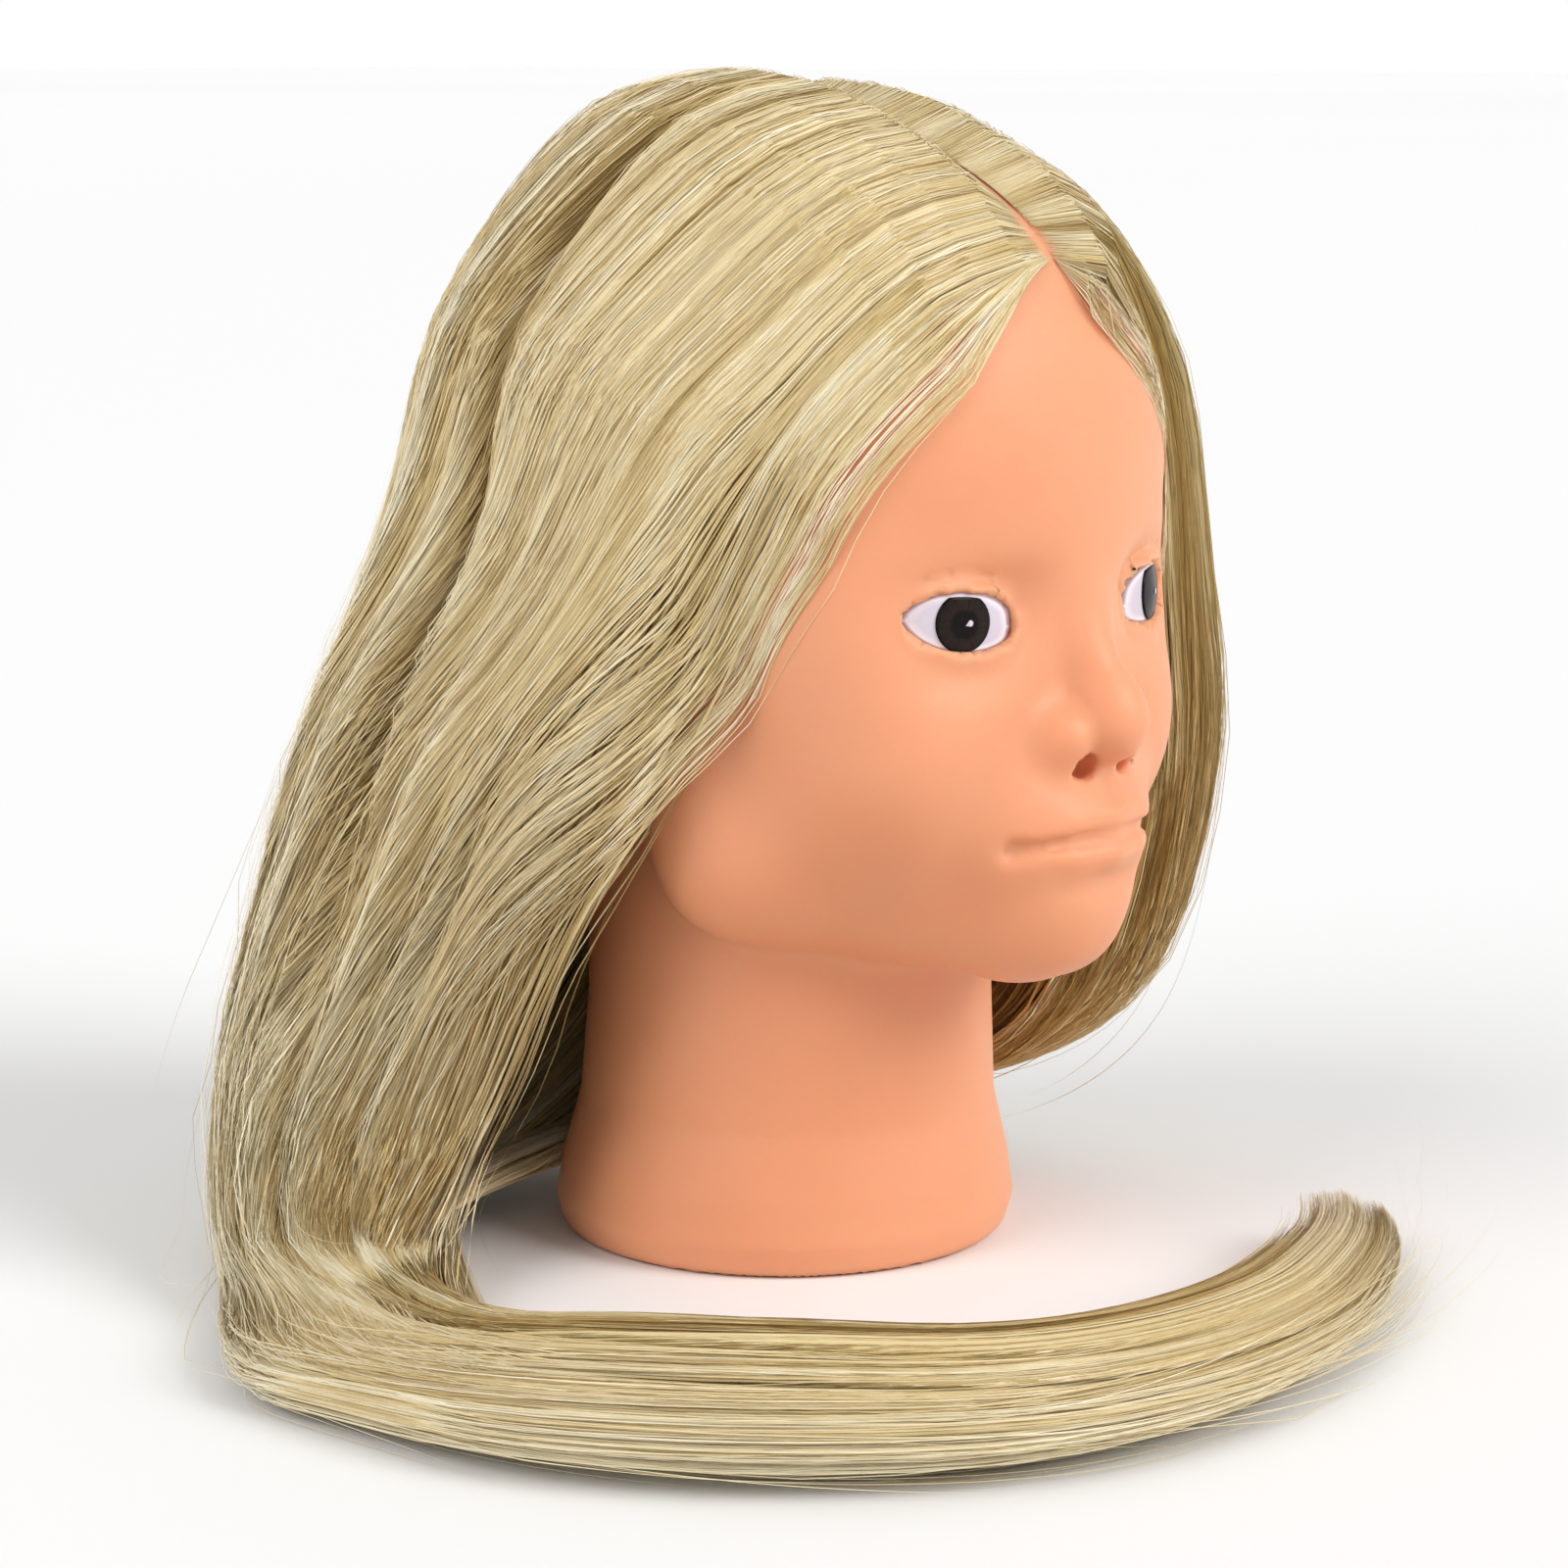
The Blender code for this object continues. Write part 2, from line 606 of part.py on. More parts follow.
def sweep_section(station, tangent, shift):
    """Flat-bottomed oval section of the lying hair, moved along the path by `shift`."""
    along, out, half_width, height = station
    across = np.array((tangent[1], -tangent[0]))
    middle = np.array((along, out)) + shift * tangent
    ring = []
    for step in range(14):
        angle = 2.0 * math.pi * (step + 0.5) / 14.0
        sideways = half_width * math.cos(angle)
        up = max(0.5 * height + 0.62 * height * math.sin(angle), 0.0)
        up = min(up, height)
        place = middle + sideways * across
        ring.append((
            place[0] * SWEEP_ALONG[0] + place[1] * SWEEP_OUT[0],
            place[0] * SWEEP_ALONG[1] + place[1] * SWEEP_OUT[1],
            up,
        ))
    return ring


def make_sweep(finish):
    """Locks lying on the table, one after another."""
    stations = np.array(SWEEP_STATIONS)
    flat = stations[:, :2]
    tangents = np.gradient(flat, axis=0)
    start = math.radians(SWEEP_START_TURN)
    radial = np.array((math.sin(start), -math.cos(start)))
    radial = np.array((radial @ np.array(SWEEP_ALONG), radial @ np.array(SWEEP_OUT)))
    tangents[0] = (-radial[1], radial[0]) if radial[0] > 0 else (radial[1], -radial[0])
    tangents /= np.linalg.norm(tangents, axis=1)[:, None]
    spans = (
        ("hair_sweep_1", 0, 2),
        ("hair_sweep_2", 2, 4),
        ("hair_sweep_3", 4, 6),
        ("hair_sweep_4", 6, 8),
        ("hair_tip", 8, 9),
    )
    for name, first, last in spans:
        rings = []
        for index in range(first, last + 1):
            shift = 0.0
            if index == first:
                shift = 0.5 * GAP
            if index == last:
                shift = -0.5 * GAP
            if index == 0:
                shift = 2.0 * GAP
            rings.append(sweep_section(stations[index], tangents[index], shift))
        stack = [list(reversed(ring)) for ring in rings]
        lock_from_sections(name, stack, finish)


def lock_from_sections(name, rings, finish):
    """Closed lock through sections with flat ends."""
    count = len(rings[0])
    vertices = [point for ring in rings for point in ring]
    faces = [tuple(range(count))[::-1]]
    for row in range(len(rings) - 1):
        for column in range(count):
            after = (column + 1) % count
            start = row * count
            faces.append((start + column, start + after, start + count + after, start + count + column))
    faces.append(tuple(range(len(vertices) - count, len(vertices))))
    return add_object(name, vertices, faces, finish)


def centre_on_floor():
    """Move everything so the visible pieces' box stands centred on the origin."""
    scene = bpy.context.scene
    depsgraph = bpy.context.evaluated_depsgraph_get()
    corners = []
    for piece in scene.objects:
        if piece.hide_render:
            continue
        done = piece.evaluated_get(depsgraph).to_mesh()
        corners += [vertex.co.copy() for vertex in done.vertices]
    corners = np.array(corners)
    low, high = corners.min(axis=0), corners.max(axis=0)
    shift = (-0.5 * (low[0] + high[0]), -0.5 * (low[1] + high[1]), -low[2])
    for piece in scene.objects:
        for vertex in piece.data.vertices:
            vertex.co.x += shift[0]
            vertex.co.y += shift[1]
            vertex.co.z += shift[2]


def main():
    """Build every sub-part."""
    for old in list(bpy.data.objects):
        bpy.data.objects.remove(old, do_unlink=True)
    skin = material("soft_vinyl_skin", (0.86, 0.50, 0.32), 0.5)
    foam = material("foam", (0.86, 0.80, 0.66), 0.9)
    hard = material("neck_plastic", (0.80, 0.74, 0.66), 0.45)
    tube = material("socket_plastic", (0.62, 0.58, 0.54), 0.4)
    white = material("eye_white", (0.74, 0.70, 0.74), 0.25)
    dark = material("iris_dark", (0.02, 0.013, 0.010), 0.08)
    hair = material("blonde_fibre", (0.62, 0.53, 0.33), 0.38)
    make_head_shell(skin)
    make_foam_core(foam)
    make_base_plate(hard)
    make_clamp_socket(tube)
    make_eyes(white, dark)
    make_crown(hair)
    make_scalp_hair(hair)
    make_falls(hair)
    make_sweep(hair)
    centre_on_floor()


main()
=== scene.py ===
"""Looks of the mannequin training head: soft vinyl face, inset eyes and long rooted blonde hair."""

import math

import bmesh
import bpy
import numpy as np
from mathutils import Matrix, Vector


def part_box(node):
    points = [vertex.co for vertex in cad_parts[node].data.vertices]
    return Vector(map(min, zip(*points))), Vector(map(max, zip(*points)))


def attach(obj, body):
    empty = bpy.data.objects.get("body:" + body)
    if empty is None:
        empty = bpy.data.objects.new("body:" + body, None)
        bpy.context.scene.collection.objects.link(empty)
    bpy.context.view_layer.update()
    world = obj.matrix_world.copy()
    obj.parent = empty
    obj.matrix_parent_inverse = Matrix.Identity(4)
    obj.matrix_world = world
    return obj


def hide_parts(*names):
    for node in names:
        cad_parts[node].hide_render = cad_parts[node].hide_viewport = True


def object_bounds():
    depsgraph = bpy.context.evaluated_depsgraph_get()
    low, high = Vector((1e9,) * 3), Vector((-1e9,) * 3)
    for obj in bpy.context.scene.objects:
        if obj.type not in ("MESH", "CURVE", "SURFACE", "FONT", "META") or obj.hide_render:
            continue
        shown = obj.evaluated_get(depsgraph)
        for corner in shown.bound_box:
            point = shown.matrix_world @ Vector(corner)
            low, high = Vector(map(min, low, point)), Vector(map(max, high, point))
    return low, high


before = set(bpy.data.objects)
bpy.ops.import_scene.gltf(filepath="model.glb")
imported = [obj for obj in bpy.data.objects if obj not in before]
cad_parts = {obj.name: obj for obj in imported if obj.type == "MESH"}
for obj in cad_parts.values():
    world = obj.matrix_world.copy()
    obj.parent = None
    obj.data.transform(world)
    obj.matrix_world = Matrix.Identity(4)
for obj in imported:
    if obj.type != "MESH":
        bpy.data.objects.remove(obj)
CAD_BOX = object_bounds()

MM = 0.001
SOCKET_LOW, SOCKET_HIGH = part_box("clamp_socket")
SOCKET_MIDDLE = 0.5 * (np.array(SOCKET_LOW) + np.array(SOCKET_HIGH))
AXIS = np.array((SOCKET_MIDDLE[0], SOCKET_MIDDLE[1], SOCKET_LOW[2]))

# --------------------------------------------------------
# Local frame used for shaping, in mm: x towards the head's left, f towards the face, z up from the table.
# --------------------------------------------------------


def to_world(points):
    """Local (x, f, z) in mm to world metres."""
    points = np.asarray(points, float)
    return np.stack([points[..., 0], -points[..., 1], points[..., 2]], axis=-1) * MM + AXIS


def smin(a, b, k):
    """Smooth union of two fields, blended over k mm."""
    h = np.clip(0.5 + 0.5 * (b - a) / k, 0.0, 1.0)
    return b + (a - b) * h - k * h * (1.0 - h)


def smax(a, b, k):
    """Smooth intersection of two fields, blended over k mm."""
    return -smin(-a, -b, k)


def ball(p, c, r):
    """Distance from a ball of radius r round c."""
    return np.linalg.norm(p - np.array(c, np.float32), axis=-1) - r


def egg(p, c, r, tilt=0.0):
    """Approximate distance from an ellipsoid with half axes r, tilted nose up by `tilt` degrees."""
    q = p - np.array(c, np.float32)
    if tilt:
        s, co = math.sin(math.radians(tilt)), math.cos(math.radians(tilt))
        q = np.stack([q[..., 0], co * q[..., 1] + s * q[..., 2], -s * q[..., 1] + co * q[..., 2]], -1)
    r = np.array(r, np.float32)
    k0 = np.linalg.norm(q / r, axis=-1)
    k1 = np.linalg.norm(q / (r * r), axis=-1)
    return k0 * (k0 - 1.0) / np.maximum(k1, 1e-6)


def rod(p, a, b, ra, rb):
    """Distance from a round bar from a to b whose radius goes from ra to rb."""
    a, b = np.array(a, np.float32), np.array(b, np.float32)
    d = b - a
    t = np.clip(((p - a) @ d) / (d @ d), 0.0, 1.0)
    return np.linalg.norm(p - a - t[..., None] * d, axis=-1) - (ra + (rb - ra) * t)


def bump(p, c, r):
    """Soft hill of height 1 at c that fades over r."""
    q = (p - np.array(c, np.float32)) / np.array(r, np.float32)
    return np.exp(-(q * q).sum(-1))


EYE_C = np.array([26.6, 58.0, 159.6], np.float32)  # centre of the sphere the eyeball's front lies on
EYE_R = 27.0
EYE_N = np.array([0.365, 0.931], np.float32)  # the way the eye looks, in plan
EYE_MID = EYE_C[:2] + EYE_N * 24.0
EYE_HALF = 15.0  # half the eye opening's length
EYE_SLANT = 3.6  # rise of the outer corner over the inner one


def eye_local(q):
    """Outward and upward offsets from the eye's middle."""
    d = q[..., :2] - EYE_MID
    return d[..., 0] * EYE_N[1] - d[..., 1] * EYE_N[0], q[..., 2] - EYE_C[2]


def lid_lines(a):
    """Heights of the upper and lower lid edges."""
    t = np.clip((a + EYE_HALF) / (2.0 * EYE_HALF), 0.0, 1.0)
    w = np.sqrt(np.clip(4.0 * t * (1.0 - t), 0.0, 1.0))
    up = 7.2 * w ** (0.75 + 0.5 * t) * (1.05 - 0.25 * (t - 0.35)) + EYE_SLANT * (t - 0.5)
    low = -6.2 * w ** (0.8 + 0.6 * t) * (0.97 + 0.18 * (t - 0.5)) + EYE_SLANT * (t - 0.5)
    return up, low


def almond(q):
    """Negative inside the eye opening."""
    a, b = eye_local(q)
    up, low = lid_lines(a)
    d = np.maximum(b - up, low - b)
    side = np.abs(a) - EYE_HALF
    corner = np.hypot(np.maximum(side, 0.0), b - 0.5 * EYE_SLANT * np.sign(a))
    return np.where(side > 0.0, corner, d * 0.85)


NECK_LEVELS = (-20, 0, 2, 8, 18, 34, 60, 130)
NECK_RADII = (52.0, 53.0, 55.0, 56.6, 55.0, 51.0, 49.5, 48.0)
NECK_MIDDLE_LEVELS = (0, 60, 100, 140)
NECK_MIDDLES = (0, 2, 1, -8)
NECK_TOP = 150.0


def skull(q):
    """Head and neck without small features; q holds |x|, f, z."""
    x, f, z = q[..., 0], q[..., 1], q[..., 2]
    d = egg(q, (0, 1, 194), (74, 85, 79))
    d = smin(d, egg(q, (0, 30, 142), (61, 61, 70)), 22)  # face
    d = smin(d, egg(q, (0, 48, 196), (60, 43, 54)), 20)  # forehead
    d = smin(d, rod(q, (9, 72, 92), (46, 27, 103), 18.5, 17), 14)  # jaw
    d = smin(d, rod(q, (46, 27, 103), (56, 8, 142), 17, 15), 16)
    d = smin(d, egg(q, (0, 80, 89), (16, 15.5, 14.5)), 12)  # chin
    d = smin(d, egg(q, (33, 62, 130), (25, 23, 30)), 16)  # cheek
    d = smin(d, egg(q, (42, 56, 160), (18, 19, 24)), 16)
    radius = np.interp(z, NECK_LEVELS, NECK_RADII)
    middle = np.interp(z, NECK_MIDDLE_LEVELS, NECK_MIDDLES)
    neck = smax(np.hypot(x, f - middle) - radius, z - NECK_TOP, 10)
    return smin(d, neck, np.clip(9.0 + (middle - f) * 0.18, 7.0, 26.0))


EAR = (71.0, 8.0, 142.0)
EAR_TURN = math.radians(22)
EAR_LEAN = 0.12


def ear(q):
    """The outer ear."""
    e = q - np.array(EAR, np.float32)
    ca, sa = math.cos(EAR_TURN), math.sin(EAR_TURN)
    ex = e[..., 0] * ca + e[..., 1] * sa
    ef = -e[..., 0] * sa + e[..., 1] * ca
    er = np.stack([ex, ef - EAR_LEAN * e[..., 2], e[..., 2]], -1)
    d = egg(er, (0, 0, 3), (4.6, 14.5, 24))
    d = smin(d, egg(er, (0, 4, -19), (4.2, 8, 9)), 4)
    d = smax(d, -egg(er, (5.2, 0, 5), (5.2, 9.0, 16)), 2.5)
    d = smin(d, egg(er, (1.8, -2.5, 4), (2.4, 3.5, 13)), 3)
    return smin(d, rod(q, (61, 14, 139), (70, 13, 136), 8, 4), 4)


def mirrored(p):
    """Points with |x|, because both halves of the head are alike."""
    return np.stack([np.abs(p[..., 0]), p[..., 1], p[..., 2]], -1).astype(np.float32)


def lip(q, middle, bend, corner, radii):
    """Half a lip: two tapering bars from the middle to the corner of the mouth."""
    inner = rod(q, middle, bend, radii[0], radii[1])
    return smin(inner, rod(q, bend, corner, radii[1], radii[2]), 3)


def nose(q):
    """Bridge, tip, wing and the base between the nostrils."""
    d = smin(rod(q, (0, 84, 164), (0, 94.5, 142), 6.5, 6.8), ball(q, (0, 98.0, 135.4), 8.6), 7)
    d = smin(d, egg(q, (11.2, 90.0, 132.0), (6.2, 8.8, 6.8)), 4.5)
    return smin(d, egg(q, (0, 95, 130.0), (4.0, 9, 4.4)), 3)


LID_THICKNESS = 1.9
SOCKET_DEPTH = 3.2


def with_eye(d, q):
    """Lids, the crease over them and the eye opening."""
    a, b = eye_local(q)
    f = q[..., 1]
    from_centre = np.linalg.norm(q - EYE_C, axis=-1)
    edge = almond(q)
    d = smin(d, smax(from_centre - (EYE_R + LID_THICKNESS), edge - 3.6, 5.0), 3.2)
    top, _ = lid_lines(a)
    reach = np.clip(1.2 - np.abs(a / EYE_HALF) ** 3, 0, 1) * (f > 55)
    d = d + 0.75 * np.exp(-((b - top - 4.2) / 1.1) ** 2) * reach
    hole = smax(edge, 60.0 - f, 1)
    return smax(d, -smax(hole, EYE_R - SOCKET_DEPTH - from_centre, 0.6), 0.8)


def mouth_line(q):
    """Distance from the line between the lips."""
    inner = rod(q, (0, 101.5, 109.0), (12, 97.5, 108.8), 0.4, 0.4)
    return np.minimum(inner, rod(q, (12, 97.5, 108.8), (24.8, 88.5, 107.6), 0.4, 0.3))


POCKET_RADIUS = 46.5
POCKET_DEPTH = 9.0


def head(p):
    """Signed distance of the finished skin at local points."""
    q = mirrored(p)
    f, z = q[..., 1], q[..., 2]
    d = skull(q)
    d = smin(d, egg(q, (0, 80, 110), (28, 20, 20)), 12)  # round the mouth
    d = smin(d, lip(q, (0, 97.6, 112.6), (12, 94.0, 111.4), (23, 87.0, 109.2), (3.2, 2.6, 1.4)), 4)
    d = smin(d, lip(q, (0, 97.0, 105.4), (11, 93.5, 106.0), (22, 86.5, 107.6), (4.1, 3.3, 1.4)), 4)
    d = smin(d, nose(q), 7)
    d = d + 4.2 * bump(q, (23, 86, 165), (11, 14, 11))  # eye hollows
    d = d + 3.0 * bump(q, (39, 82, 162), (16, 16, 12))
    d = d + 1.0 * bump(q, (37, 82, 147), (16, 14, 6))
    d = d - 1.0 * bump(q, (29, 90, 174), (18, 14, 6))  # brow
    d = with_eye(d, q)
    d = smax(d, -egg(q, (6.9, 93.0, 125.4), (4.0, 4.6, 3.4), 18), 2.0)  # nostril
    d = d + 2.3 * np.exp(-(np.maximum(mouth_line(q), 0) / 1.9) ** 2)
    d = d + 1.0 * bump(q, (25.2, 88, 107.4), (3.0, 6, 3.4))  # mouth corner
    d = d + 1.0 * bump(q, (0, 101, 120), (2.3, 8, 5))  # groove over the lip
    d = d + 1.5 * bump(q, (0, 97, 97.5), (14, 10, 3.6))  # dent under the lip
    d = smin(d, ear(q), 3.5)
    pocket = np.maximum(np.hypot(q[..., 0], f) - POCKET_RADIUS, z - POCKET_DEPTH)
    d = np.maximum(d, -pocket)
    return smax(d, -z, 0.2)


def under_hair(p):
    """Skull with the ears' room, for keeping hair off the skin."""
    q = mirrored(p)
    return smin(skull(q), egg(q, (69, 8, 142), (13, 17, 29)), 8)


def slope(p, field, h=0.3):
    """Gradient of a field."""
    g = np.empty_like(p)
    for k in range(3):
        o = np.zeros(3, p.dtype)
        o[k] = h
        g[..., k] = (field(p + o) - field(p - o)) / (2.0 * h)
    return g


def push_out(p, clear, field, snap=None, rounds=3):
    """Move points to at least `clear` outside a field; `snap` pulls them down to it too (0 to 1)."""
    for _ in range(rounds):
        d = field(p)
        gap = clear - d
        move = np.maximum(gap, 0.0) if snap is None else np.where(gap > 0.0, gap, gap * snap)
        hit = np.abs(move) > 0.02
        if not hit.any():
            break
        g = slope(p[hit], field)
        g /= np.maximum(np.linalg.norm(g, axis=-1, keepdims=True), 0.4)
        p[hit] = p[hit] + g * move[hit][:, None]
    return p


# --------------------------------------------------------
# Mesh helpers
# --------------------------------------------------------


def cell_corner(n, corner):
    """Slices that give each grid cell's value at one of its corners."""
    return tuple(slice(corner[k], n[k] - 1 + corner[k]) for k in range(3))


def cell_points(value, n):
    """Mean crossing point of the zero surface in each cell, and the number of its edges that cross."""
    total = np.zeros([m - 1 for m in n] + [3], np.float32)
    count = np.zeros([m - 1 for m in n], np.int32)
    corners = [(i, j, k) for i in (0, 1) for j in (0, 1) for k in (0, 1)]
    for corner in corners:
        for k in range(3):
            if corner[k] == 1:
                continue
            other = list(corner)
            other[k] = 1
            va, vb = value[cell_corner(n, corner)], value[cell_corner(n, other)]
            cross = (va < 0) != (vb < 0)
            t = va / np.where(cross, va - vb, 1)
            for m in range(3):
                total[..., m] += np.where(cross, corner[m] + (t if m == k else 0), 0)
            count += cross
    return total, count


def crossing_quads(inside, n, index, k):
    """Quads round the grid edges along axis k that cross the surface."""
    o1, o2 = [m for m in range(3) if m != k]
    first = [slice(None)] * 3
    second = [slice(None)] * 3
    first[k] = slice(0, n[k] - 1)
    second[k] = slice(1, n[k])
    sa, sb = inside[tuple(first)], inside[tuple(second)]
    cross = sa != sb
    edges = np.argwhere(cross)
    flip = sb[cross]
    inner = (edges[:, o1] > 0) & (edges[:, o1] < n[o1] - 1) & (edges[:, o2] > 0) & (edges[:, o2] < n[o2] - 1)
    edges, flip = edges[inner], flip[inner]
    corners = []
    for d1, d2 in ((1, 1), (0, 1), (0, 0), (1, 0)):
        cell = edges.copy()
        cell[:, o1] -= d1
        cell[:, o2] -= d2
        corners.append(index[cell[:, 0], cell[:, 1], cell[:, 2]])
    quads = np.stack(corners, 1)
    if k == 1:
        flip = ~flip
    quads[flip] = quads[flip][:, ::-1]
    return quads


def surface_nets(field, low, high, step):
    """Vertices and quads round a field's zero surface."""
    low, high = np.array(low, float), np.array(high, float)
    n = np.ceil((high - low) / step).astype(int) + 1
    xs, ys, zs = [low[k] + step * np.arange(n[k]) for k in range(3)]
    value = np.empty(n, np.float32)
    for i, x in enumerate(xs):
        Y, Z = np.meshgrid(ys, zs, indexing="ij")
        value[i] = field(np.stack([np.full_like(Y, x), Y, Z], -1).astype(np.float32))
    total, count = cell_points(value, n)
    has = count > 0
    index = -np.ones(has.shape, np.int64)
    index[has] = np.arange(has.sum())
    verts = (np.argwhere(has) + total[has] / count[has][:, None]) * step + low
    faces = [crossing_quads(value < 0, n, index, k) for k in range(3)]
    return verts, np.concatenate(faces)


def quad_mesh(name, points, faces, uv=None, material=None):
    """Object from a vertex array (world metres), quad array and per-vertex UVs."""
    me = bpy.data.meshes.new(name)
    faces = np.asarray(faces, np.int32)
    me.vertices.add(len(points))
    me.vertices.foreach_set("co", np.asarray(points, np.float32).ravel())
    me.loops.add(faces.size)
    me.loops.foreach_set("vertex_index", faces.ravel())
    me.polygons.add(len(faces))
    me.polygons.foreach_set("loop_start", (np.arange(len(faces)) * faces.shape[1]).astype(np.int32))
    me.update(calc_edges=True)
    if uv is not None:
        layer = me.uv_layers.new(name="UVMap")
        layer.data.foreach_set("uv", np.asarray(uv, np.float32)[faces.ravel()].ravel())
    me.validate()
    me.shade_smooth()
    ob = bpy.data.objects.new(name, me)
    bpy.context.scene.collection.objects.link(ob)
    if material is not None:
        me.materials.append(material)
    return ob


def finish_piece(ob, slot, *nodes):
    """Put a piece on the body in place of CAD nodes."""
    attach(ob, "root")
    if nodes:
        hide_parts(*nodes)
    return ob


# --------------------------------------------------------
# Materials
# --------------------------------------------------------


def new_material(name):
    mat = bpy.data.materials.new(name)
    mat.use_nodes = True
    return mat, mat.node_tree, mat.node_tree.nodes["Principled BSDF"]


def node(nt, kind, **values):
    """New node with its inputs or, failing that, its settings."""
    n = nt.nodes.new(kind)
    for key, value in values.items():
        if key in n.inputs:
            n.inputs[key].default_value = value
        else:
            setattr(n, key, value)
    return n


def ramp(nt, source, stops):
    """Colour ramp over `source` with (position, colour) stops."""
    n = nt.nodes.new("ShaderNodeValToRGB")
    while len(n.color_ramp.elements) < len(stops):
        n.color_ramp.elements.new(0.5)
    for e, (position, colour) in zip(n.color_ramp.elements, stops):
        e.position = position
        e.color = (*colour, 1.0)
    nt.links.new(source, n.inputs["Fac"])
    return n.outputs["Color"]


def noise(nt, place, **values):
    """Noise read at `place`."""
    n = node(nt, "ShaderNodeTexNoise", **values)
    nt.links.new(place, n.inputs["Vector"])
    return n.outputs["Fac"]


def vary_roughness(nt, sh, source, low, high):
    span = node(nt, "ShaderNodeMapRange", **{"To Min": low, "To Max": high})
    nt.links.new(source, span.inputs["Value"])
    nt.links.new(span.outputs["Result"], sh.inputs["Roughness"])


def add_bump(nt, sh, source, strength, distance):
    b = node(nt, "ShaderNodeBump", Strength=strength, Distance=distance)
    nt.links.new(source, b.inputs["Height"])
    nt.links.new(b.outputs["Normal"], sh.inputs["Normal"])


def uv_parts(nt, scale=(1.0, 1.0, 1.0)):
    """The UV map's parts, and the map stretched by `scale`."""
    uv = node(nt, "ShaderNodeUVMap", uv_map="UVMap")
    part = node(nt, "ShaderNodeSeparateXYZ")
    nt.links.new(uv.outputs["UV"], part.inputs["Vector"])
    stretch = node(nt, "ShaderNodeMapping")
    stretch.inputs["Scale"].default_value = scale
    nt.links.new(uv.outputs["UV"], stretch.inputs["Vector"])
    return part, stretch.outputs["Vector"]


SKIN_TONES = [
    (0.3, (0.77, 0.325, 0.165)),
    (0.55, (0.80, 0.35, 0.185)),
    (0.75, (0.82, 0.37, 0.20)),
]
# Strand tones from dark to light; the dark end is reached by the painted shade of the gaps and deep strands.
HAIR_TINTS = [
    (0.0, (0.19, 0.100, 0.024)),
    (0.25, (0.39, 0.255, 0.088)),
    (0.5, (0.60, 0.440, 0.180)),
    (0.75, (0.75, 0.61, 0.335)),
    (1.0, (0.86, 0.79, 0.590)),
]
# Painted shade: the mass under the ribbons takes the hair tints darkened by this share.
MASS_SHADE = 0.72
# Lilac white, a lighter band near the rim, then painted shade: a dark line where the lids shade the rim.
EYE_WHITE_LID_SHADE_TONES = [
    (0.0, (0.58, 0.53, 0.60)),
    (0.7, (0.62, 0.56, 0.63)),
    (0.84, (0.80, 0.75, 0.80)),
    (0.9, (0.42, 0.27, 0.30)),
    (1.0, (0.16, 0.07, 0.06)),
]
IRIS_TONES = [
    (0.0, (0.003, 0.002, 0.002)),
    (0.45, (0.005, 0.003, 0.003)),
    (0.6, (0.018, 0.011, 0.009)),
    (0.85, (0.016, 0.010, 0.008)),
    (1.0, (0.004, 0.003, 0.003)),
]
SPOKE_TONES = [(0.3, (0.5, 0.45, 0.4)), (0.7, (1.6, 1.5, 1.4))]


def skin_material():
    """Soft satin vinyl, a little translucent."""
    mat, nt, sh = new_material("vis_skin")
    place = node(nt, "ShaderNodeNewGeometry").outputs["Position"]
    broad = noise(nt, place, Scale=14.0, Detail=3.0)
    nt.links.new(ramp(nt, broad, SKIN_TONES), sh.inputs["Base Color"])
    vary_roughness(nt, sh, broad, 0.42, 0.56)
    add_bump(nt, sh, noise(nt, place, Scale=900.0, Detail=4.0), 0.08, 0.0004)
    sh.inputs["Subsurface Weight"].default_value = 0.6
    sh.inputs["Subsurface Radius"].default_value = (1.0, 0.35, 0.18)
    sh.inputs["Subsurface Scale"].default_value = 0.006
    sh.inputs["IOR"].default_value = 1.45
    return mat


TONE_SPREAD = 0.3


def strand_material():
    """Fibre ribbons: UV u is the strand's tone, with its painted light and shade, v the share of length from
    root to tip.
    """
    mat, nt, sh = new_material("vis_strands")
    part, place = uv_parts(nt, (500.0, 4.0, 1.0))
    own = noise(nt, place, Scale=1.0, Detail=2.0)
    vary = node(nt, "ShaderNodeMath", operation="MULTIPLY_ADD")
    nt.links.new(own, vary.inputs[0])
    vary.inputs[1].default_value = TONE_SPREAD
    nt.links.new(part.outputs["X"], vary.inputs[2])
    shift = node(nt, "ShaderNodeMath", operation="SUBTRACT")
    nt.links.new(vary.outputs[0], shift.inputs[0])
    shift.inputs[1].default_value = 0.5 * TONE_SPREAD
    nt.links.new(ramp(nt, shift.outputs[0], HAIR_TINTS), sh.inputs["Base Color"])
    vary_roughness(nt, sh, own, 0.24, 0.42)
    sh.inputs["IOR"].default_value = 1.55
    return mat


def mass_material():
    """Combed mass under the ribbons: fine streaks along v, darker than the ribbons as painted shade for the
    depth of the hair.
    """
    mat, nt, sh = new_material("vis_hair_mass")
    _, place = uv_parts(nt, (420.0, 5.0, 1.0))
    streak = noise(nt, place, Scale=1.0, Detail=5.0, Roughness=0.7)
    tones = []
    for position, colour in HAIR_TINTS:
        tones.append((0.35 + 0.5 * position, tuple(MASS_SHADE * x for x in colour)))
    nt.links.new(ramp(nt, streak, tones), sh.inputs["Base Color"])
    add_bump(nt, sh, streak, 0.6, 0.0006)
    sh.inputs["Roughness"].default_value = 0.5
    return mat


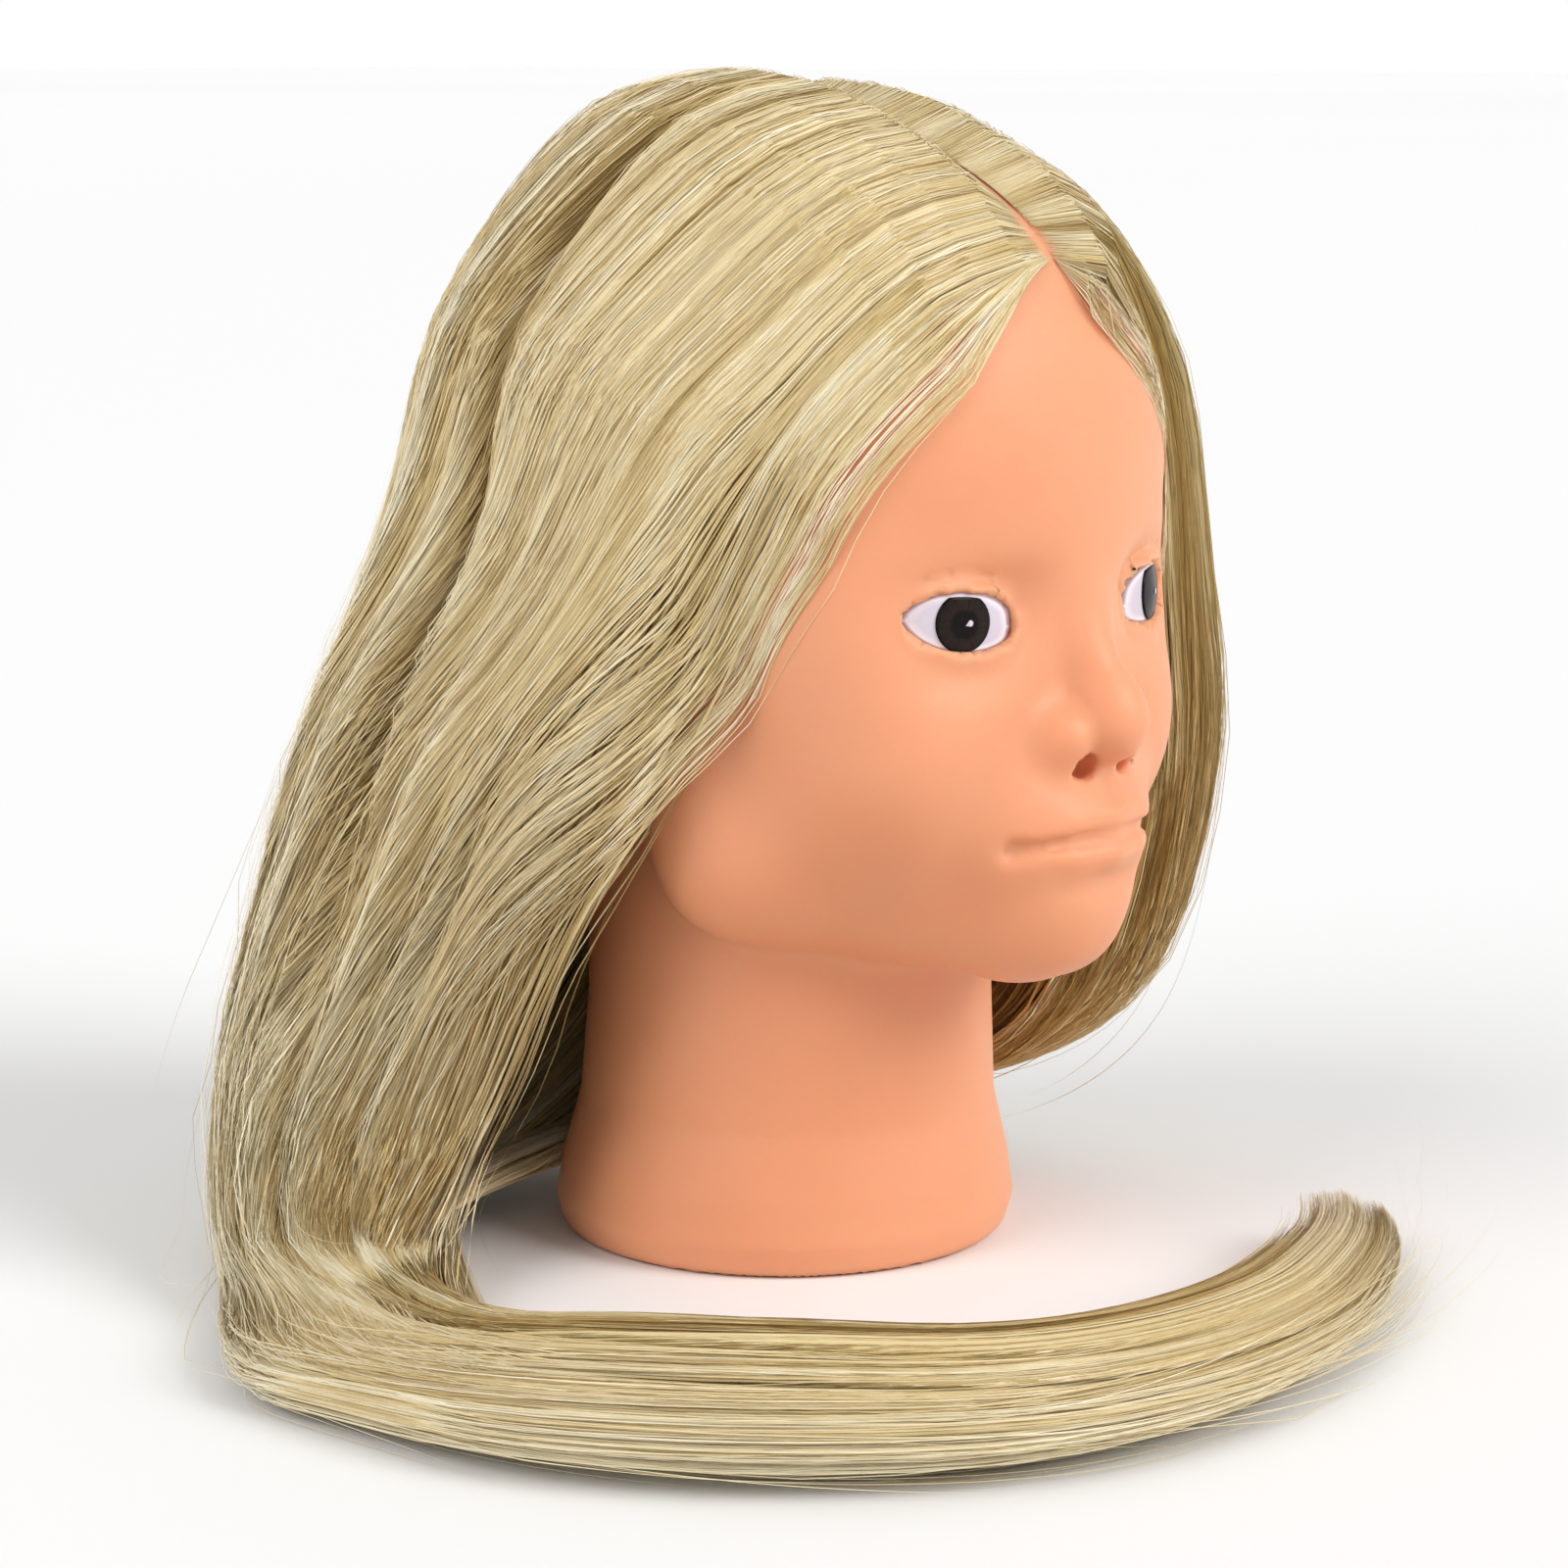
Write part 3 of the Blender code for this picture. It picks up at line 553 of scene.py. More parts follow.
def plastic_material(name, colour, darker, roughness, scale, strength):
    """Hard plastic or foam: grain in colour, roughness and height."""
    mat, nt, sh = new_material(name)
    grain = noise(nt, node(nt, "ShaderNodeNewGeometry").outputs["Position"], Scale=scale, Detail=5.0)
    nt.links.new(ramp(nt, grain, [(0.3, darker), (0.7, colour)]), sh.inputs["Base Color"])
    vary_roughness(nt, sh, grain, *roughness)
    add_bump(nt, sh, grain, strength, 0.0004)
    return mat


def eye_white_material():
    """Lilac white with a lighter band near the rim, then painted shade that darkens it to brown at the lids;
    v runs from the middle to the rim.
    """
    mat, nt, sh = new_material("vis_eye_white")
    part, _ = uv_parts(nt)
    nt.links.new(ramp(nt, part.outputs["Y"], EYE_WHITE_LID_SHADE_TONES), sh.inputs["Base Color"])
    sh.inputs["Roughness"].default_value = 0.3
    sh.inputs["Specular IOR Level"].default_value = 0.35
    return mat


def iris_material():
    """Nearly black brown with faint spokes."""
    mat, nt, sh = new_material("vis_iris")
    part, place = uv_parts(nt, (40.0, 1.5, 1.0))
    spokes = noise(nt, place, Scale=1.0, Detail=3.0)
    mix = node(nt, "ShaderNodeMix", data_type="RGBA", blend_type="MULTIPLY")
    factor, base, layer = mix.inputs[0], mix.inputs[6], mix.inputs[7]
    factor.default_value = 0.7
    nt.links.new(ramp(nt, part.outputs["Y"], IRIS_TONES), base)
    nt.links.new(ramp(nt, spokes, SPOKE_TONES), layer)
    nt.links.new(mix.outputs[2], sh.inputs["Base Color"])
    sh.inputs["Roughness"].default_value = 0.2
    sh.inputs["Specular IOR Level"].default_value = 0.12
    return mat


# --------------------------------------------------------
# Skin and eyes
# --------------------------------------------------------


SKIN_STEP = 2.8
SKIN_LOW = (-90, -95, -6)
SKIN_HIGH = (90, 115, 280)


def refine(p, rounds=4):
    """Points pulled onto the finished skin."""
    for _ in range(rounds):
        d = head(p)
        g = slope(p, head, 0.15)
        size = np.maximum(np.linalg.norm(g, axis=1), 0.3)
        p = p - (np.clip(d, -1.5, 1.5) / size / size * 0.9)[:, None] * g
    return p


def subdivided(ob):
    """Mesh of an object after one round of subdivision."""
    smooth = ob.modifiers.new("smooth", "SUBSURF")
    smooth.levels = 1
    smooth.render_levels = 1
    done = bpy.data.meshes.new_from_object(ob.evaluated_get(bpy.context.evaluated_depsgraph_get()))
    ob.modifiers.clear()
    return done


def make_skin(mat):
    """Face, scalp, ears and neck in one moulding."""
    verts, faces = surface_nets(head, SKIN_LOW, SKIN_HIGH, SKIN_STEP)
    ob = quad_mesh("skin", verts, faces, None, mat)
    bm = bmesh.new()
    bm.from_mesh(ob.data)
    bmesh.ops.recalc_face_normals(bm, faces=bm.faces[:])
    bm.to_mesh(ob.data)
    bm.free()
    ob.data = subdivided(ob)
    me = ob.data
    co = np.empty(len(me.vertices) * 3, np.float32)
    me.vertices.foreach_get("co", co)
    co = refine(co.reshape(-1, 3))
    me.vertices.foreach_set("co", to_world(co).astype(np.float32).ravel())
    me.flip_normals()
    me.update()
    me.shade_smooth()
    return finish_piece(ob, "skin", "head_shell")


PATCH_RINGS = 14
OUTLINE_POINTS = 72


def on_eye(a, b, ahead):
    """Local points at outward, upward and forward offsets from the eye's centre."""
    x = a * EYE_N[1] + ahead * EYE_N[0] + EYE_C[0]
    f = -a * EYE_N[0] + ahead * EYE_N[1] + EYE_C[1]
    return np.stack([x, f, b + EYE_C[2]], -1)


def eye_patch(name, side, outline, sphere, depth, mat, slot, node_name):
    """Domed patch on a sphere round the eye's centre: rings of the outline from middle to rim, then back."""
    across, up = np.array(outline).T
    count = len(outline)
    shares = np.linspace(0.0, 1.0, PATCH_RINGS + 1)
    rings = []
    for share in shares:
        a, b = across * share, up * share
        rings.append(on_eye(a, b, np.sqrt(sphere ** 2 - a ** 2 - b ** 2)))
    rings.append(on_eye(across, up, np.sqrt(sphere ** 2 - across ** 2 - up ** 2) - depth))
    points = np.concatenate(rings)
    points[:, 0] *= side
    levels = np.concatenate([shares, [1.0]])
    around = np.arange(count) / count
    uv = np.concatenate([np.stack([around, np.full(count, level)], -1) for level in levels])
    i = np.arange(count)
    after = (i + 1) % count
    faces = []
    for r in range(len(rings) - 1):
        here, beyond = r * count, (r + 1) * count
        faces.append(np.stack([here + i, here + after, beyond + after, beyond + i], -1))
    faces = np.concatenate(faces)
    if side < 0:
        faces = faces[:, ::-1]
    return finish_piece(quad_mesh(name, to_world(points), faces, uv, mat), slot, node_name)


LID_COVER = 0.6  # how far the eye inserts reach under the lids
IRIS_RADIUS = 7.0
GLINT_RADIUS = 0.75
GLINT_UP = 0.5


def almond_outline(angle):
    """Outline of the eye insert, a little under the lids."""
    across = (EYE_HALF + LID_COVER) * np.cos(angle)
    up, low = lid_lines(across)
    margin = LID_COVER * np.minimum(np.abs(np.sin(angle)) * 4.0, 1.0)
    return np.stack([across, np.where(np.sin(angle) > 0, up + margin, low - margin)], -1)


def iris_outline(angle):
    """Round iris, cut by the lids."""
    a, b = IRIS_RADIUS * np.cos(angle), IRIS_RADIUS * 0.97 * np.sin(angle)
    up, low = lid_lines(a)
    return np.stack([a, np.clip(b + 0.5, low + 0.1, up - 0.9)], -1)


def glint_outline(angle, outward):
    """Small painted highlight beside the pupil's middle."""
    return np.stack([GLINT_RADIUS * np.cos(angle) + outward, GLINT_RADIUS * np.sin(angle) + GLINT_UP], -1)


def make_eyes(white, dark):
    """Eye insert, iris disc and painted glint on each side."""
    angle = np.linspace(0.0, 2.0 * math.pi, OUTLINE_POINTS, endpoint=False)
    for side, word, outward in ((-1.0, "right", -1.4), (1.0, "left", 1.0)):
        white_node, iris_node = "eye_white_" + word, "iris_" + word
        eye_patch("eye_" + word, side, almond_outline(angle), EYE_R, 1.4, white, "eye_white", white_node)
        eye_patch("iris_disc_" + word, side, iris_outline(angle), EYE_R + 0.45, 0.5, dark, "iris", iris_node)
        glint = glint_outline(angle, outward)
        eye_patch("glint_" + word, side, glint, EYE_R + 0.6, 0.3, white, "eye_white", white_node)


# --------------------------------------------------------
# Hair
# --------------------------------------------------------
# Guides run from the parting to the tip. Columns go from the right front edge round the back to the left
# front edge; each row is one station along the fall, as local (x, f, z).
STATIONS = [
    # root at the parting
    [(-1, 77, 238), (-1, 64, 249), (-1, 45, 259), (-1, 22, 267), (-1, 0, 271), (-1, -14, 270),
     (1, -14, 270), (1, 0, 271), (1, 22, 267), (1, 45, 259), (1, 64, 249), (1, 77, 238)],
    # just beside the parting
    [(-12, 76, 235), (-14, 61, 247), (-14, 42, 257), (-14, 19, 264), (-13, -3, 268), (-6, -24, 268),
     (6, -24, 268), (13, -3, 268), (14, 21, 264), (14, 43, 257), (14, 61, 247), (8, 76, 236)],
    [(-37, 68, 224), (-42, 54, 238), (-44, 34, 248), (-44, 8, 255), (-38, -18, 261), (-16, -45, 258),
     (16, -45, 258), (38, -18, 261), (44, 8, 258), (46, 34, 256), (49, 60, 243), (18, 76, 231)],
    [(-63, 53, 194), (-72, 34, 207), (-76, 12, 215), (-74, -14, 222), (-60, -45, 226), (-20, -80, 222),
     (20, -80, 222), (60, -45, 226), (78, -12, 222), (86, 28, 216), (81, 60, 211), (52, 68, 198)],
    [(-77, 40, 150), (-88, 20, 163), (-93, -2, 170), (-90, -32, 178), (-70, -65, 180), (-22, -97, 175),
     (22, -96, 175), (70, -62, 178), (93, -16, 175), (100, 32, 169), (94, 60, 165), (67, 60, 155)],
    [(-84, 27, 111), (-94, 4, 122), (-99, -20, 126), (-98, -50, 130), (-78, -84, 130), (-25, -106, 125),
     (22, -104, 125), (74, -70, 128), (100, -18, 123), (106, 32, 117), (96, 62, 112), (79, 55, 100)],
]
# next stations in table directions: along, out, height
BEND = [
    [(-49, 66, 77), (-72, 65, 80), (-95, 55, 82), (-117, 37, 84), (-127, 1, 83), (-105, -49, 80),
     (-73, -81, 80), (-17, -100, 78), (40, -92, 74), (80, -62, 66), (94, -26, 58), (76, -22, 54)],
    [(-60, 52, 46), (-81, 60, 51), (-105, 62, 54), (-125, 48, 54), (-135, 10, 49), (-116, -38, 42),
     (-92, -62, 38), (-56, -84, 36), (-14, -92, 34), (34, -82, 28), (60, -60, 24), (44, -52, 26)],
    [(-69, 50, 26), (-86, 63, 31), (-111, 69, 35), (-128, 60, 31), (-135, 40, 22), (-130, 8, 16),
     (-118, -22, 12), (-88, -52, 12), (-54, -74, 14), (-18, -80, 18), (12, -74, 20), (4, -62, 22)],
    [(-71, 64, 15), (-86, 82, 18), (-107, 94, 21), (-121, 92, 16), (-128, 77, 9), (-130, 50, 5),
     (-126, 28, 4), (-116, 8, 4), (-104, -4, 5), (-92, -12, 7), (-82, -8, 10), (-75, 5, 14)],
]
SWEEP = [  # centre along, centre out, half width, height
    (-93.0, 116.0, 31.0, 14.0),
    (-72.0, 146.0, 31.0, 18.0),
    (-42.0, 166.0, 31.0, 23.0),
    (0.0, 179.0, 28.5, 26.0),
    (42.0, 174.0, 26.0, 24.0),
    (78.0, 150.0, 23.5, 21.0),
    (106.0, 114.0, 20.0, 18.0),
    (122.0, 78.0, 17.0, 16.0),
    (130.5, 48.0, 15.0, 14.5),
    (133.0, 24.0, 14.0, 14.0),
]
SWEEP_ANGLES = np.radians([165, 135, 105, 70, 32, 4, -18, -45, -75, -105, -135, -160])
SNAP = [  # height above the skin at the first stations; 0 leaves the guide free
    [0.5] * 12,
    [2.5, 6, 8, 9.5, 10.5, 9, 8, 8, 8, 7, 6, 2.0],
    [3.0, 8, 10, 12, 13, 12, 11, 10, 10, 10, 9, 2.5],
    [3.0, 8, 11, 12, 12, 11, 11, 11, 0, 0, 0, 0],
    [5.0, 9, 13, 13, 0, 0, 0, 0, 0, 0, 0, 0],
]
LAST_COLUMN = 11
SCALP_ROWS = 5
SCALP_CLEARANCE = 0.8
THICKEST = 14.0  # greatest thickness of the hair on the scalp
HANGING_CORE = 58.0  # least radius of the hanging hair's inside
HANGING_SHARE = 0.66


TABLE_COS, TABLE_SIN = 0.643, 0.766  # the table directions are turned 50 degrees from the local ones


def table_point(along, out, height):
    """Local point from the table directions of the lying hair."""
    x = TABLE_COS * along - TABLE_SIN * out
    f = TABLE_SIN * along + TABLE_COS * out
    return np.array((x, f, height), float)


def sweep_rows():
    """Outside and middle guide rows of the hair lying on the table."""
    centre = np.array([s[:2] for s in SWEEP])
    tangent = np.gradient(centre, axis=0)
    tangent /= np.linalg.norm(tangent, axis=1)[:, None]
    rows, middles = [], []
    for (along, out, half, tall), (ta, to) in zip(SWEEP, tangent):
        normal = np.array((-to, ta))
        row = []
        for angle in SWEEP_ANGLES:
            place = np.array((along, out)) + normal * half * math.cos(angle)
            height = 0.5 * tall * (1.0 + 0.97 * math.sin(angle))
            row.append(table_point(place[0], place[1], height))
        rows.append(row)
        middles.append([table_point(along, out, 0.5 * tall)] * (LAST_COLUMN + 1))
    return np.array(rows, np.float32), np.array(middles, np.float32)


def build_guides():
    """Outer and inner guide grids, shape (stations, columns, 3)."""
    outer = np.array(STATIONS, np.float32)
    for row, heights in enumerate(SNAP):
        heights = np.array(heights, np.float32)
        use = heights > 0
        outer[row, use] = push_out(outer[row, use].copy(), heights[use], under_hair, snap=1.0, rounds=12)
    bend = np.array([[table_point(*p) for p in row] for row in BEND], np.float32)
    rows, middles = sweep_rows()
    outer = np.concatenate([outer, bend, rows])
    inner = outer.copy()
    for k in range(SCALP_ROWS):
        p = outer[k].copy()
        g = slope(p, under_hair)
        g /= np.linalg.norm(g, axis=-1, keepdims=True)
        thick = np.clip(under_hair(p) - SCALP_CLEARANCE, 0.0, THICKEST)
        inner[k] = p - g * thick[:, None]
    first_lying = len(STATIONS) + len(BEND)
    for k in range(SCALP_ROWS, first_lying):  # hanging rows
        flat = outer[k, :, :2]
        radius = np.linalg.norm(flat, axis=-1)
        keep = np.maximum(HANGING_CORE, radius * HANGING_SHARE)
        inner[k, :, :2] = flat * (np.minimum(keep, radius - 4.0) / radius)[:, None]
    for k, share in ((first_lying - 2, 0.35), (first_lying - 1, 0.75)):
        inner[k] = (1.0 - share) * inner[k] + share * (0.5 * outer[k] + 0.5 * middles[0])
    inner[first_lying:] = middles
    return outer, inner


def cubic_weights(x, count):
    """Catmull-Rom indices and weights at fractional index x."""
    i = np.clip(np.floor(x).astype(int), 0, count - 2)
    s = (x - i).astype(np.float32)
    idx = [np.clip(i + k, 0, count - 1) for k in (-1, 0, 1, 2)]
    w = [
        -0.5 * s + s * s - 0.5 * s ** 3,
        1.0 - 2.5 * s * s + 1.5 * s ** 3,
        0.5 * s + 2.0 * s * s - 1.5 * s ** 3,
        -0.5 * s * s + 0.5 * s ** 3,
    ]
    return idx, w


def on_guides(grid, station, column):
    """Bicubic point of a guide grid."""
    ki, kw = cubic_weights(station, grid.shape[0])
    ci, cw = cubic_weights(column, grid.shape[1])
    out = np.zeros(station.shape + (3,), np.float32)
    for a in range(4):
        for b in range(4):
            out += (kw[a] * cw[b])[..., None] * grid[ki[a], ci[b]]
    return out


OUTER, INNER = build_guides()
SHARES = np.linspace(0.0, 1.0, 241)


def station_table():
    """Fractional station for each share of length, one column of the table for each guide column."""
    table = []
    stations = np.linspace(0.0, OUTER.shape[0] - 1.0, 400)
    for column in range(OUTER.shape[1]):
        path = on_guides(OUTER, stations, np.full(stations.shape, float(column)))
        length = np.concatenate([[0.0], np.cumsum(np.linalg.norm(np.diff(path, axis=0), axis=-1))])
        table.append(np.interp(SHARES, length / length[-1], stations))
    return np.array(table).T


STATION_TABLE = station_table()


def station_at(t, column):
    """Fractional station for a share of the hair's length at a fractional column."""
    x = np.clip(t, 0.0, 1.0) * (len(SHARES) - 1)
    i = np.clip(x.astype(int), 0, len(SHARES) - 2)
    c = np.clip(column, 0.0, LAST_COLUMN)
    j = np.clip(c.astype(int), 0, LAST_COLUMN - 1)
    a, b = x - i, c - j
    low = STATION_TABLE[i, j] * (1 - a) + STATION_TABLE[i + 1, j] * a
    high = STATION_TABLE[i, j + 1] * (1 - a) + STATION_TABLE[i + 1, j + 1] * a
    return low * (1 - b) + high * b


RIPPLE_COUNT = 7


def ripples(seed, across, along):
    """Smooth field over (column, share of length) made of a few plane waves, about -1 to 1."""
    rng = np.random.default_rng(seed)
    terms = []
    for _ in range(RIPPLE_COUNT):
        column_rate = rng.uniform(0.5, 1.0) * across * rng.choice((-1, 1))
        length_rate = rng.uniform(-1, 1) * along
        phase = rng.uniform(0, 1)
        terms.append((column_rate, length_rate, phase))

    def field(column, t):
        total = 0.0
        for fc, ft, phase in terms:
            total = total + np.sin(2.0 * math.pi * (fc * column + ft * t + phase))
        return total / math.sqrt(0.5 * RIPPLE_COUNT) * 0.6
    return field


BROAD = ripples(3, 1.1, 1.3)
LOCKS = ripples(5, 3.2, 1.6)
FINE = ripples(9, 9.0, 2.5)
GROOVES = [  # column at the root, column at the end, share where it starts and ends, width in columns, depth
    (3.35, 2.45, 0.03, 0.42, 0.13, 0.50),
    (1.35, 1.9, 0.28, 0.62, 0.10, 0.18),
    (4.5, 3.7, 0.05, 0.30, 0.10, 0.20),
    (2.0, 3.6, 0.45, 0.90, 0.09, 0.14),
    (7.6, 8.4, 0.06, 0.50, 0.12, 0.20),
    (9.6, 9.1, 0.08, 0.60, 0.10, 0.16),
    (5.5, 5.9, 0.10, 0.60, 0.12, 0.20),
    (3.4, 4.4, 0.60, 0.97, 0.08, 0.16),
]


def groove(t, column):
    """Depth of the gaps between the main locks; strand_tone also darkens the strands in them as painted
    shade.
    """
    total = np.zeros(np.broadcast(t, column).shape, np.float32)
    for start, end, first, last, width, depth in GROOVES:
        share = np.clip((t - first) / (last - first), 0.0, 1.0)
        middle = start + (end - start) * share
        fade = np.clip(share * 5.0, 0.0, 1.0) * np.clip((1.0 - share) * 3.0, 0.0, 1.0)
        total = total + depth * fade * np.exp(-((column - middle) / width) ** 2)
    return total


def relief(t, column):
    """Depth of the combed surface below the guides' outside, as a share of the hair's thickness."""
    open_up = np.clip(t * 12.0, 0.0, 1.0)
    bumps = 0.055 * BROAD(column, t) + 0.05 * LOCKS(column, t) + 0.022 * FINE(column, t)
    return open_up * (bumps + groove(t, column))


# how many columns the top layer on the right has been combed back, by station
COMBED_STATIONS = (2.6, 3.4, 4.1, 4.7, 5.3, 6.0, 7.0, 8.0, 9.0, 10.0, 11.0, 13.0)
COMBED_COLUMNS = (0.0, 0.35, 0.85, 1.3, 1.7, 2.05, 2.3, 2.4, 2.7, 3.6, 4.2, 4.4)
BACK_COLUMN = 5.5


def combed(t, column, amount=1.0):
    """Surface column of a strand that starts at `column` and is combed back by a share of the full way."""
    k = station_at(t, column)
    lag = 0.65 * np.exp(-(np.maximum(column, 0.0) / 0.4) ** 2)
    back = np.interp(k - lag, COMBED_STATIONS, COMBED_COLUMNS)
    return column + amount * back * np.clip(1.0 - np.maximum(column, 0.0) / BACK_COLUMN, 0.0, 1.0)


def spill(k):
    """How far strands past the front columns may lie in front of them, by station."""
    return np.interp(k, (0.0, 1.0, 2.0, 6.0, 8.0, 10.0), (0.05, 0.15, 1.0, 0.8, 0.5, 0.15))


def hair_point(t, column, depth):
    """Point of the hair mass and the way out of it: t along it, column round it, depth inward (0 to 1)."""
    k = station_at(t, column)
    inside = np.clip(column, 0.0, LAST_COLUMN)
    a = on_guides(OUTER, k, inside)
    b = on_guides(INNER, k, inside)
    past = column - inside
    if np.any(past != 0.0):
        edge = np.where(past < 0.0, 0.0, LAST_COLUMN)
        beside = np.where(past < 0.0, 1.0, LAST_COLUMN - 1.0)
        step = on_guides(OUTER, k, edge) - on_guides(OUTER, k, beside)
        step = step * (np.abs(past) * spill(k))[..., None]
        a = a + step
        b = b + step
    return a + (b - a) * depth[..., None], a - b


SIDE_REACH = 13.0
LOWEST = 0.5
TOP_REACH = 4.0


def room():
    """Local corners that all the hair stays inside: the CAD box and a little more."""
    low, high = (np.array(corner) for corner in CAD_BOX)
    a = (low - AXIS) / MM
    b = (high - AXIS) / MM
    lowest = (a[0] - SIDE_REACH, -b[1] - SIDE_REACH, LOWEST)
    highest = (b[0] + SIDE_REACH, -a[1] + SIDE_REACH, b[2] + TOP_REACH)
    return np.array(lowest), np.array(highest)


MASS_ROWS = 260
MASS_COLUMNS = 170


def make_mass(name, depth, columns, mat, nodes):
    """Sheet following the hair's outside a little under the ribbons, sunk at its root, sides and tip."""
    c = np.linspace(columns[0], columns[1], MASS_COLUMNS)
    t = np.linspace(0.02, 0.95, MASS_ROWS)
    T, C = np.meshgrid(t, c, indexing="ij")
    edge = np.clip(np.minimum(C - columns[0], columns[1] - C) / 0.5, 0.0, 1.0)
    at_root = 0.75 * np.exp(-((T - 0.02) / 0.02))
    at_tip = 0.5 * np.clip((T - 0.85) / 0.1, 0.0, 1.0)
    D = depth + relief(T, C) + (at_root + 0.3 * (1.0 - edge) + at_tip)
    P, _ = hair_point(T, C, np.clip(D, 0.0, 1.0).astype(np.float32))
    flat = P.reshape(-1, 3)
    flat = np.clip(push_out(flat, 0.9, under_hair), *room())
    rows, cols = T.shape
    i = (np.arange(rows - 1)[:, None] * cols + np.arange(cols - 1)[None]).ravel()
    faces = np.stack([i, i + 1, i + cols + 1, i + cols], -1)
    uv = np.stack([C.ravel() / LAST_COLUMN, T.ravel()], -1)
    ob = quad_mesh(name, to_world(flat), faces, uv, mat)
    return finish_piece(ob, "hair", *nodes)


def waves(rng, shape, t, count=3, low=0.3, high=1.6):
    """Smooth random wave for each strand."""
    total = np.zeros(shape, np.float32)
    each = (shape[0], 1)
    for _ in range(count):
        rate = rng.uniform(low, high, each)
        size = rng.uniform(-1, 1, each)
        phase = rng.uniform(0, 1, each)
        total += size * np.sin(2 * math.pi * (rate * t + phase))
    return total / math.sqrt(count)


ROLL_SPREAD = 0.38
LOWEST_EDGE = 0.25


def ribbon_mesh(name, rng, P, N, width, tone, t, mat):
    """Ribbons through point rows P with outward normals N; UV u is the tone and v the share of length."""
    count, samples = P.shape[:2]
    T = np.gradient(P, axis=1)
    T /= np.maximum(np.linalg.norm(T, axis=-1, keepdims=True), 1e-4)
    B = np.cross(T, N)
    B /= np.maximum(np.linalg.norm(B, axis=-1, keepdims=True), 1e-4)
    M = np.cross(B, T)
    roll = rng.normal(0.0, ROLL_SPREAD, (count, 1, 1)) + 0.15 * waves(rng, t.shape, t)[..., None]
    side = B * np.cos(roll) + M * np.sin(roll)
    s = np.linspace(0.0, 1.0, samples)[None]
    taper = np.clip((1.0 - s) * 9.0, 0.15, 1.0)
    half = 0.5 * (width * rng.uniform(0.7, 1.3, (count, 1)) * taper)[..., None] * side
    V = np.stack([P - half, P + half], 2).reshape(-1, 3)
    V[:, 2] = np.maximum(V[:, 2], LOWEST_EDGE)
    uv = np.stack([np.repeat(tone[..., None], 2, -1), np.repeat(t[..., None], 2, -1)], -1).reshape(-1, 2)
    i = (np.arange(count)[:, None] * samples + np.arange(samples - 1)[None]).ravel() * 2
    faces = np.stack([i, i + 1, i + 3, i + 2], -1)
    return finish_piece(quad_mesh(name, to_world(V), faces, uv, mat), "hair")


SPILL = 1.0  # columns by which strands may lie past the first and last guides
THIN_COLUMNS = 2.1
THIN_POWER = 3.2


def spread_columns(rng, count, low, high):
    """Random columns, thinning out over the last part next to both front edges."""
    column = rng.uniform(low, high, (count, 1))
    from_edge = np.minimum(column + SPILL, LAST_COLUMN + SPILL - column)
    thin = np.clip(from_edge / THIN_COLUMNS, 0.0, 1.0) ** THIN_POWER
    redo = rng.uniform(0.0, 1.0, column.shape) > thin
    first = min(max(low, 0.9), LAST_COLUMN - 1.8)
    last = min(high + 0.6, LAST_COLUMN - 0.9)
    inside = rng.uniform(first, last, (count, 1))
    return np.where(redo, inside, column)


def press_down(points, limit, share):
    """Points higher than `limit` above the skin, brought down to it by a share of the way."""
    over = np.maximum(under_hair(points) - limit, 0.0) * share
    g = slope(points, under_hair)
    g /= np.maximum(np.linalg.norm(g, axis=-1, keepdims=True), 1e-3)
    return (points - g * over[:, None]).astype(np.float32)


RIBBON_SAMPLES = 46
STRAND_CLEARANCE = 0.5
RISE = 0.04  # share of length over which a strand from below comes to its depth
TIP_START = 0.86
BEND_PAINTED_LIGHT = ((5.5, 7.0, 9.5, 11.0), (0.0, 0.18, 0.18, 0.0))  # painted light: tone lifted at the bend to make up for its shade, by station
DEEP_SHADE = ((5.0, 8.0), (0.6, 0.1))  # painted shade: darker tone of deep strands, by station
HUG_FADE = ((3.6, 5.0), (1.0, 0.0))  # share of the pressing down, by station


def strand_tone(rng, t, c, depth, bias):
    """Tone of each strand: its own and a broad tone that varies across the hair, with painted light at the
    bend and painted shade in the gaps between locks, on deeper locks and deep in the mass.
    """
    k = station_at(t, c)
    own = np.clip(rng.normal(0.68, 0.10, (len(depth), 1)), 0.0, 1.0) + bias
    own = own + np.interp(k, *BEND_PAINTED_LIGHT)
    # painted shade: darker where the grooves and the lock relief sink the surface; the broad term is tone
    # that varies across the hair
    gap_shade_and_tone = 1.3 * groove(t, c) + 0.08 * BROAD(c * 1.7, t) + 0.13 * LOCKS(c, t)
    return np.clip(own - gap_shade_and_tone - np.interp(k, *DEEP_SHADE) * np.clip(depth, 0, 1), 0.0, 1.0)


